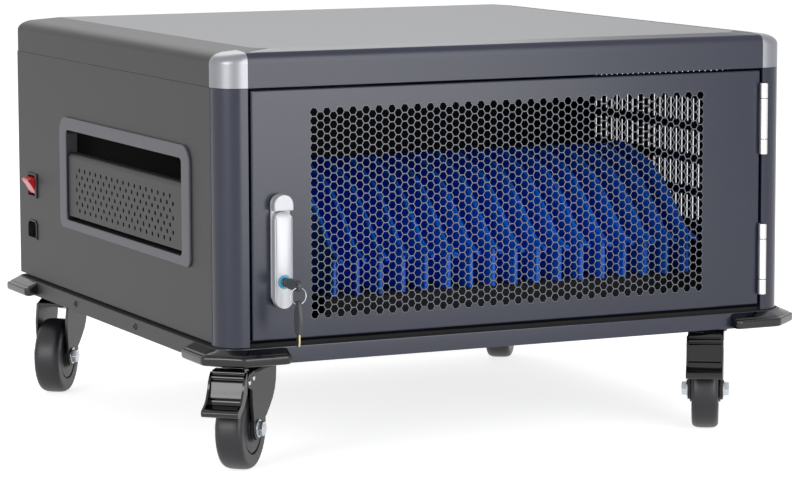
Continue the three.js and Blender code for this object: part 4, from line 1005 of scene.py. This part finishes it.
class CABINET_OT_lock(bpy.types.Operator):
    """Make the swing handle, its lock and the keys on their ring"""
    bl_idname = "cabinet.lock"
    bl_label = "Lock and keys"
    bl_options = {"REGISTER", "UNDO"}

    def execute(self, context):
        silver = ["silver lacquer, pale"]
        piece("escutcheon", lock_plate_form(), "door", silver, ["lock_plate"],
              rounding=0.8, segments=3)
        piece("swing_lever", lever_form(), "lever", silver, ["lock_lever"],
              sharp=30)
        piece("lock_core_face", lock_core_form(), "lock_core",
              ["cyan acetal", "bright zinc plate"], ["lock_cylinder"])
        core = drawn(joint("key_turn")["pos_m"])
        eye = drawn(joint("ring_swing")["pos_m"])
        finishes = ["grained nylon", "turned brass"]
        in_lock = Matrix.Translation((core.x, span("lock_cylinder")[2], core.z))
        in_lock @= Matrix.Rotation(math.radians(-90), 4, "X")
        piece("key_first", Form().take(key_form(-0.5, 5), in_lock), "lock_core", finishes,
              ["key_in_lock"], rounding=0.5)
        spare = Matrix.Translation((core.x, eye.y, span("spare_key")[4] + 7.5))
        spare @= Matrix.Rotation(math.pi, 4, "X")
        piece("key_second", Form().take(key_form(-4, 7), spare), "loose_key", finishes,
              ["spare_key"], rounding=0.5)
        level = (span("key_ring")[4] + span("key_ring")[5]) / 2
        hung = Form().take(ring_form(), Matrix.Translation((core.x, eye.y, level)))
        piece("split_ring", hung, "ring", ["bright zinc plate"], ["key_ring"])
        return {"FINISHED"}


# Device dividers

def divider_form(x, y0, y1, z0, z1):
    """Moulded fin: a thin web with a thicker rounded rim along its humped edge."""
    along_shares = (0, 0, 0.04, 0.16, 0.28, 0.42, 0.57, 0.92, 1, 1)
    up_shares = (0, 0.305, 0.4, 0.64, 0.83, 0.94, 1, 0.88, 0.72, 0)
    foot = z0 + 5
    corners = [
        (y0 + (y1 - y0) * a, foot + (z1 - foot) * b) for a, b in zip(along_shares, up_shares)]
    crest = smoothed(corners[1:-1], 5)[:-5]
    crest = [corners[0], *(p for p in crest if p[0] <= y1 + 0.01)]
    outline = [*crest, corners[-1]]
    made = prism("x", outline, x - 1.2, x + 1.2)
    rings = []
    for i, (y, z) in enumerate(crest):
        before, after = crest[max(i - 1, 0)], crest[min(i + 1, len(crest) - 1)]
        way = Vector((after[0] - before[0], after[1] - before[1])).normalized()
        ring = []
        for a, b in circle(0, 0, 1, 10):
            lift = 1.6 * b - 1.5
            ring.append((x + 2.1 * a, y - way.y * lift, z + way.x * lift))
        rings.append(ring)
    made.take(loft(rings))
    for share in (0.15, 0.85):
        middle = y0 + (y1 - y0) * share
        made.take(block(x - 1.2, x + 1.2, middle - 8, middle + 8, z0, foot + 2))
    return made


class CABINET_OT_dividers(bpy.types.Operator):
    """Make the device dividers"""
    bl_idname = "cabinet.dividers"
    bl_label = "Dividers"
    bl_options = {"REGISTER", "UNDO"}

    def execute(self, context):
        for node in sorted(n for n in frame["nodes"] if n.startswith("divider_")):
            x0, x1, *rest = span(node)
            piece(f"bay_{node}", divider_form((x0 + x1) / 2, *rest), "cabinet",
                  ["blue polypropylene"], [node], sharp=40)
        return {"FINISHED"}


# Casters

def caster_place(corner):
    """Where a caster stands and the way its wheel trails, and how far."""
    pivot = drawn(joint(f"caster_swivel_{corner}")["pos_m"])
    axle = drawn(joint(f"wheel_spin_{corner}")["pos_m"])
    turn = math.atan2(axle.y - pivot.y, axle.x - pivot.x)
    trail = math.hypot(axle.y - pivot.y, axle.x - pivot.x)
    place = Matrix.Translation((pivot.x, pivot.y, 0)) @ Matrix.Rotation(turn, 4, "Z")
    return place, trail, axle.z


def beside(trail, side, y, level, degrees):
    """A place beside the wheel, with the z axis turned outwards or inwards."""
    turn = Matrix.Rotation(math.radians(degrees * side), 4, "X")
    return Matrix.Translation((trail, side * y, level)) @ turn


def fork_form(trail, level, braked):
    """Pressed fork: crown with its ball race, two curved cheeks, and thread guards."""
    race_top = BASE_LOW - CASTER_PLATE - GAP
    crown = race_top - 4.2
    cheek = [
        (-16, crown), (-15.5, crown - 10), (-14.5, crown - 18), (-11.5, crown - 26),
        (-5, crown - 34), (4, crown - 41), (13, crown - 47), (20, level + 6),
    ]
    cheek += arc(trail, level, 11, 200, 360, 12)
    cheek += [(trail + 12, level + 12), (53, level + 26), (54, 78)]
    if braked:
        cheek += arc(60, 87, 7, -60, 90, 10) + [(54, 94)]
    cheek += [(54 if braked else 48, crown)]
    made = block(-16, 48, -17.5, 17.5, crown - 3, crown)
    for side in (-1, 1):
        made.take(prism("y", cheek, *sorted((side * 15, side * 17.5))))
        guard = [(3.2, 0), (13.4, 0), (13.4, 0.8), (12.6, 1.3), (3.2, 1.3)]
        made.take(revolved(guard, 40), beside(trail, side, 15.1, level, 90))
    race = [(8.3, crown - 3), (20.6, crown - 3), (20.6, crown + 0.4), (19, crown + 1.6),
            (19, crown + 2.4), (20.4, crown + 2.8), (20.4, race_top), (8.3, race_top)]
    return made.take(revolved(race, 40, closed=True))


def axle_form(trail, level, braked):
    """Axle bolt: washers, a hexagon nut at each side, and the rivets of the brake."""
    made = Form()
    rivet = [(2.6, 0), (2.6, 0.3), (2.1, 0.8), (1.2, 1.1)]
    for side in (1, -1):
        turn = beside(trail, side, 17.5, level, -90)
        made.take(revolved([(3, 0), (8.4, 0), (8.4, 1.2), (3, 1.2)], 32), turn)
        made.take(prism("z", circle(0, 0, 7.4, 6), 1.2, 5.9), turn)
        made.take(revolved([(4, 5), (4, 5.9), (3.4, 6.2)], 24), turn)
        for a, b in ((62, 86), (50, 88.5)) if braked else ():
            made.take(revolved(rivet, 20), beside(a, side, 17.5, b, -90))
    return made


def wheel_form():
    """Wheel on the z axis: crowned tread, shoulder, and flat sides with the tyre's seam."""
    half = [
        (5.3, 13.5), (12.6, 13.5), (13.4, 12.8), (14, 12.5), (23, 12.3), (23.3, 11.2), (24.3, 11),
        (24.6, 12.4), (25.2, 12.9), (33.6, 13), (34, 12.7), (34.6, 12.7), (35, 12.9), (36.8, 12),
        (38, 10.2), (38.7, 7.8), (38.97, 3.5),
    ]
    profile = [(r, -z) for r, z in half] + [(r, z) for r, z in reversed(half)]
    return revolved(profile, 72, closed=True)


def clipped(outline, low):
    """The part of a closed outline whose first coordinate lies above a limit."""
    made = []
    for i, (a, b) in enumerate(outline):
        c, d = outline[i - 1]
        if (a > low) != (c > low):
            t = (low - c) / (a - c)
            made.append((low, d + (b - d) * t))
        if a > low:
            made.append((a, b))
    return made


def pedal_form():
    """Brake pedal: two ribs, a scooped face between raised cheeks, and a rolled toe."""
    under = [(94.2, 57.5), (87.4, 60), (78, 66.5), (71.9, 73.9), (67.2, 79.6), (61.4, 80),
             (55, 84.1)]
    cheek = [(54.2, 95.2), (62.2, 98), (70, 96), (76.2, 88.2), (80.2, 78.8), (86, 69.8),
             (95.3, 64), (97, 61.2)]
    face = [
        (54.2, 95.2), (60, 98.4), (66, 98.9), (69.6, 98.2), (71.2, 95.6), (70, 94.6), (70.4, 93.6),
        (72.6, 92.8), (73.3, 90.6), (71.9, 89.6), (72.4, 88.6), (74.4, 87.6), (76.3, 81),
        (79, 73.6), (78.2, 70.4), (81, 66.4), (88, 64), (92, 65.2), (95.6, 63.6), (97, 61.2),
    ]
    whole, inner = (smoothed([*front, *under], 4) for front in (cheek, face))
    between, wheel_side, outside, past_fork = 14.7, 15.9, 18, 69.5
    made = prism("y", inner, -between, between)
    for side in (-1, 1):
        for outline, near, far in ((inner, between, wheel_side), (whole, wheel_side, outside)):
            made.take(prism("y", clipped(outline, past_fork), *sorted((side * near, side * far))))
    return made


class CABINET_OT_casters(bpy.types.Operator):
    """Make the four casters, with brake pedals at the front"""
    bl_idname = "cabinet.casters"
    bl_label = "Casters"
    bl_options = {"REGISTER", "UNDO"}

    def execute(self, context):
        for corner in CORNERS:
            place, trail, level = caster_place(corner)
            braked = "front" in corner
            fork = Form().take(fork_form(trail, level, braked), place)
            piece(f"fork_{corner}", fork, f"swivel_{corner}", ["black dip paint"],
                  [f"caster_fork_{corner}"], rounding=0.6)
            axle = Form().take(axle_form(trail, level, braked), place)
            piece(f"axle_{corner}", axle, f"swivel_{corner}", ["bright zinc plate"],
                  rounding=0.3)
            wheel = Form().take(wheel_form(), place @ beside(trail, 1, 0, level, 90))
            piece(f"tyre_{corner}", wheel, f"rolling_{corner}", ["scuffed tyre rubber"],
                  [f"wheel_{corner}"], sharp=40)
            if braked:
                piece(f"pedal_{corner}", Form().take(pedal_form(), place), f"pedal_{corner}",
                      ["polished black ABS"], [f"brake_pedal_{corner}"],
                      rounding=0.5)
        return {"FINISHED"}


# Stage: floor, world, lamps and camera

def plainly_seen(tree):
    """Is 1 for rays from the camera, from gloss and through glass, which find the room white."""
    path = add_node(tree, "ShaderNodeLightPath", {})
    seen = path.outputs["Is Camera Ray"]
    for kind in ("Is Glossy Ray", "Is Transmission Ray"):
        either = add_node(tree, "ShaderNodeMath", {"operation": "MAXIMUM"},
                          {0: seen, 1: path.outputs[kind]})
        seen = either.outputs[0]
    return seen


class CABINET_OT_stage(bpy.types.Operator):
    """Make the floor, the light and the camera"""
    bl_idname = "cabinet.stage"
    bl_label = "Stage"
    bl_options = {"REGISTER", "UNDO"}

    def execute(self, context):
        scene = context.scene
        studio = scene.cabinet_studio
        scene.view_settings.view_transform = "Standard"

        # Seamless paper: matt, near white, and shown as white background to camera and gloss
        paper = bpy.data.materials.new("seamless paper")
        tree = bare_tree(paper)
        lift = add_node(tree, "ShaderNodeMath", {"operation": "MULTIPLY", 1: studio.floor_lift},
                        {0: plainly_seen(tree)})
        matt = add_node(tree, "ShaderNodeBsdfDiffuse", {"Color": (*linear("#e6e6e6"), 1)})
        glow = add_node(tree, "ShaderNodeEmission", {"Color": (1, 1, 1, 1)},
                        {"Strength": lift.outputs[0]})
        both = add_node(tree, "ShaderNodeAddShader", {}, {0: matt.outputs[0], 1: glow.outputs[0]})
        add_node(tree, "ShaderNodeOutputMaterial", {}, {"Surface": both.outputs[0]})

        reach = studio.floor_reach
        mesh = bpy.data.meshes.new("studio_floor")
        corners = [(x * reach, y * reach, 0) for x, y in ((-1, -1), (1, -1), (1, 1), (-1, 1))]
        mesh.from_pydata(corners, [], [(0, 1, 2, 3)])
        mesh.materials.append(paper)
        floor = bpy.data.objects.new("studio_floor", mesh)
        scene.collection.objects.link(floor)

        world = bpy.data.worlds.new("studio")
        scene.world = world
        tree = bare_tree(world)
        level = add_node(tree, "ShaderNodeMapRange", {"To Min": studio.sky, "To Max": 1.0},
                         {"Value": plainly_seen(tree)})
        back = add_node(tree, "ShaderNodeBackground", {"Color": (1, 1, 1, 1)},
                        {"Strength": level.outputs[0]})
        add_node(tree, "ShaderNodeOutputWorld", {}, {"Surface": back.outputs[0]})

        # The key stands low and near on the right: the door and the lid's edge mirror it
        for name, place, target, size, energy in (
            ("key_softbox", (0.36, -2.05, 0.65), (0.06, -0.27, 0.5), 1.3, studio.key),
            ("fill_softbox", (-3.9, -2.3, 1.5), (0, 0, 0.2), 2.2, studio.fill),
            ("top_softbox", (0.8, 2.9, 2.8), (0, 0, 0.2), 2.4, studio.top),
        ):
            lamp = bpy.data.lights.new(name, "AREA")
            lamp.shape, lamp.size, lamp.energy = "SQUARE", size, energy
            hung = bpy.data.objects.new(name, lamp)
            hung.visible_camera = False
            scene.collection.objects.link(hung)
            facing = (Vector(place) - Vector(target)).to_track_quat("Z", "Y")
            hung.matrix_world = Matrix.Translation(place) @ facing.to_matrix().to_4x4()

        yaw, pitch, roll = (math.radians(a) for a in (24.99, 7.24, -0.18))
        reach = math.cos(pitch)
        forward = Vector((math.sin(yaw) * reach, math.cos(yaw) * reach, -math.sin(pitch)))
        right = Vector((math.cos(yaw), -math.sin(yaw), 0))
        up = right.cross(forward)
        right, up = (
            math.cos(roll) * right + math.sin(roll) * up,
            math.cos(roll) * up - math.sin(roll) * right,
        )
        data = bpy.data.cameras.new("camera")
        data.sensor_width, data.lens, data.clip_end = 36, studio.lens, 100
        camera = bpy.data.objects.new("camera", data)
        scene.collection.objects.link(camera)
        turned = Matrix((right, up, -forward)).transposed().to_4x4()
        camera.matrix_world = Matrix.Translation(studio.camera_place) @ turned
        scene.camera = camera
        return {"FINISHED"}


# Settings that a user would change

class CabinetSizes(bpy.types.PropertyGroup):
    """Sizes of the fine detail that the CAD model leaves to the scene"""
    mesh_column: bpy.props.FloatProperty(
        name="Mesh column pitch", description="Distance between columns of hexagons in the door",
        default=6.62 * MM, min=4 * MM, subtype="DISTANCE", unit="LENGTH")
    mesh_row: bpy.props.FloatProperty(
        name="Mesh row pitch", description="Distance between rows of hexagons in the door",
        default=8.20 * MM, min=5 * MM, subtype="DISTANCE", unit="LENGTH")
    mesh_web: bpy.props.FloatProperty(
        name="Mesh web", description="Metal left between two hexagons",
        default=0.85 * MM, min=0.5 * MM, subtype="DISTANCE", unit="LENGTH")


class CabinetColours(bpy.types.PropertyGroup):
    """Colours of the painted and moulded pieces"""
    body: bpy.props.FloatVectorProperty(
        name="Body", description="Powder coat of the lid, sides and back",
        default=linear("#1f1f22"), min=0, max=1, subtype="COLOR")
    # Painted light: the front colour is a bluer, paler copy of the body's coat, for the faces that
    # meet the front light
    front: bpy.props.FloatVectorProperty(
        name="Front", description="Powder coat of the door, posts and base",
        default=linear("#202437"), min=0, max=1, subtype="COLOR")
    frame: bpy.props.FloatVectorProperty(
        name="Handle frame", description="Plastic of the frame round the side handle",
        default=linear("#54535b"), min=0, max=1, subtype="COLOR")
    # Painted highlight: the webs are given a paler colour than the door, for the light that their
    # rounded edges catch
    mesh: bpy.props.FloatVectorProperty(
        name="Mesh", description="Powder coat on the webs of the door's mesh",
        default=linear("#6a6c74"), min=0, max=1, subtype="COLOR")
    dividers: bpy.props.FloatVectorProperty(
        name="Dividers", description="Plastic of the device dividers",
        default=linear("#0b6df2"), min=0, max=1, subtype="COLOR")
    rocker: bpy.props.FloatVectorProperty(
        name="Rocker", description="Plastic of the switch's rocker",
        default=linear("#dc1220"), min=0, max=1, subtype="COLOR")
    lock_ring: bpy.props.FloatVectorProperty(
        name="Lock ring", description="Plastic of the ring in the lock's face",
        default=linear("#2fb4dd"), min=0, max=1, subtype="COLOR")


class CabinetStudio(bpy.types.PropertyGroup):
    """Light and camera of the studio"""
    sky: bpy.props.FloatProperty(
        name="Sky", description="Strength of the white room on matt surfaces", default=0.35, min=0)
    key: bpy.props.FloatProperty(
        name="Key", description="Power of the softbox near the front",
        default=19, min=0, unit="POWER")
    fill: bpy.props.FloatProperty(
        name="Fill", description="Power of the softbox at the left",
        default=85, min=0, unit="POWER")
    top: bpy.props.FloatProperty(
        name="Top", description="Power of the softbox above the back",
        default=32, min=0, unit="POWER")
    floor_lift: bpy.props.FloatProperty(
        name="Floor lift", description="Light added to the floor so that it is seen as white",
        default=0.76, min=0, max=1)
    floor_reach: bpy.props.FloatProperty(
        name="Floor reach", description="Distance from the middle to the floor's edge",
        default=30.0, min=3, subtype="DISTANCE", unit="LENGTH")
    lens: bpy.props.FloatProperty(
        name="Lens", description="Focal length on a 36 mm sensor",
        default=152.477, min=20, unit="CAMERA")
    camera_place: bpy.props.FloatVectorProperty(
        name="Camera", description="Where the camera stands, in the row frame",
        default=(-1.43805, -3.09705, 0.6062), subtype="TRANSLATION", unit="LENGTH")


class CABINET_PT_panel(bpy.types.Panel):
    """Shows the settings and a button for each step in the sidebar"""
    bl_idname = "CABINET_PT_panel"
    bl_label = "Charging cabinet"
    bl_space_type = "VIEW_3D"
    bl_region_type = "UI"
    bl_category = "Cabinet"

    def draw(self, context):
        scene = context.scene
        for group in (scene.cabinet_sizes, scene.cabinet_colours, scene.cabinet_studio):
            for name in group.__annotations__:
                self.layout.prop(group, name)
        for step in STEPS:
            self.layout.operator(step.bl_idname)


STEPS = (
    CABINET_OT_shell, CABINET_OT_fittings, CABINET_OT_bumpers, CABINET_OT_door, CABINET_OT_hinges,
    CABINET_OT_lock, CABINET_OT_dividers, CABINET_OT_casters, CABINET_OT_stage,
)
CLASSES = (CabinetSizes, CabinetColours, CabinetStudio, *STEPS, CABINET_PT_panel)


def register():
    for made in CLASSES:
        bpy.utils.register_class(made)
    bpy.types.Scene.cabinet_sizes = bpy.props.PointerProperty(type=CabinetSizes)
    bpy.types.Scene.cabinet_colours = bpy.props.PointerProperty(type=CabinetColours)
    bpy.types.Scene.cabinet_studio = bpy.props.PointerProperty(type=CabinetStudio)


def unregister():
    del bpy.types.Scene.cabinet_studio
    del bpy.types.Scene.cabinet_colours
    del bpy.types.Scene.cabinet_sizes
    for made in reversed(CLASSES):
        bpy.utils.unregister_class(made)


def main():
    register()
    for step in STEPS:
        group, name = step.bl_idname.split(".")
        result = getattr(getattr(bpy.ops, group), name)()
        if result != {"FINISHED"}:
            raise RuntimeError(f"{step.bl_label} did not finish")


if __name__ == "__main__":
    main()
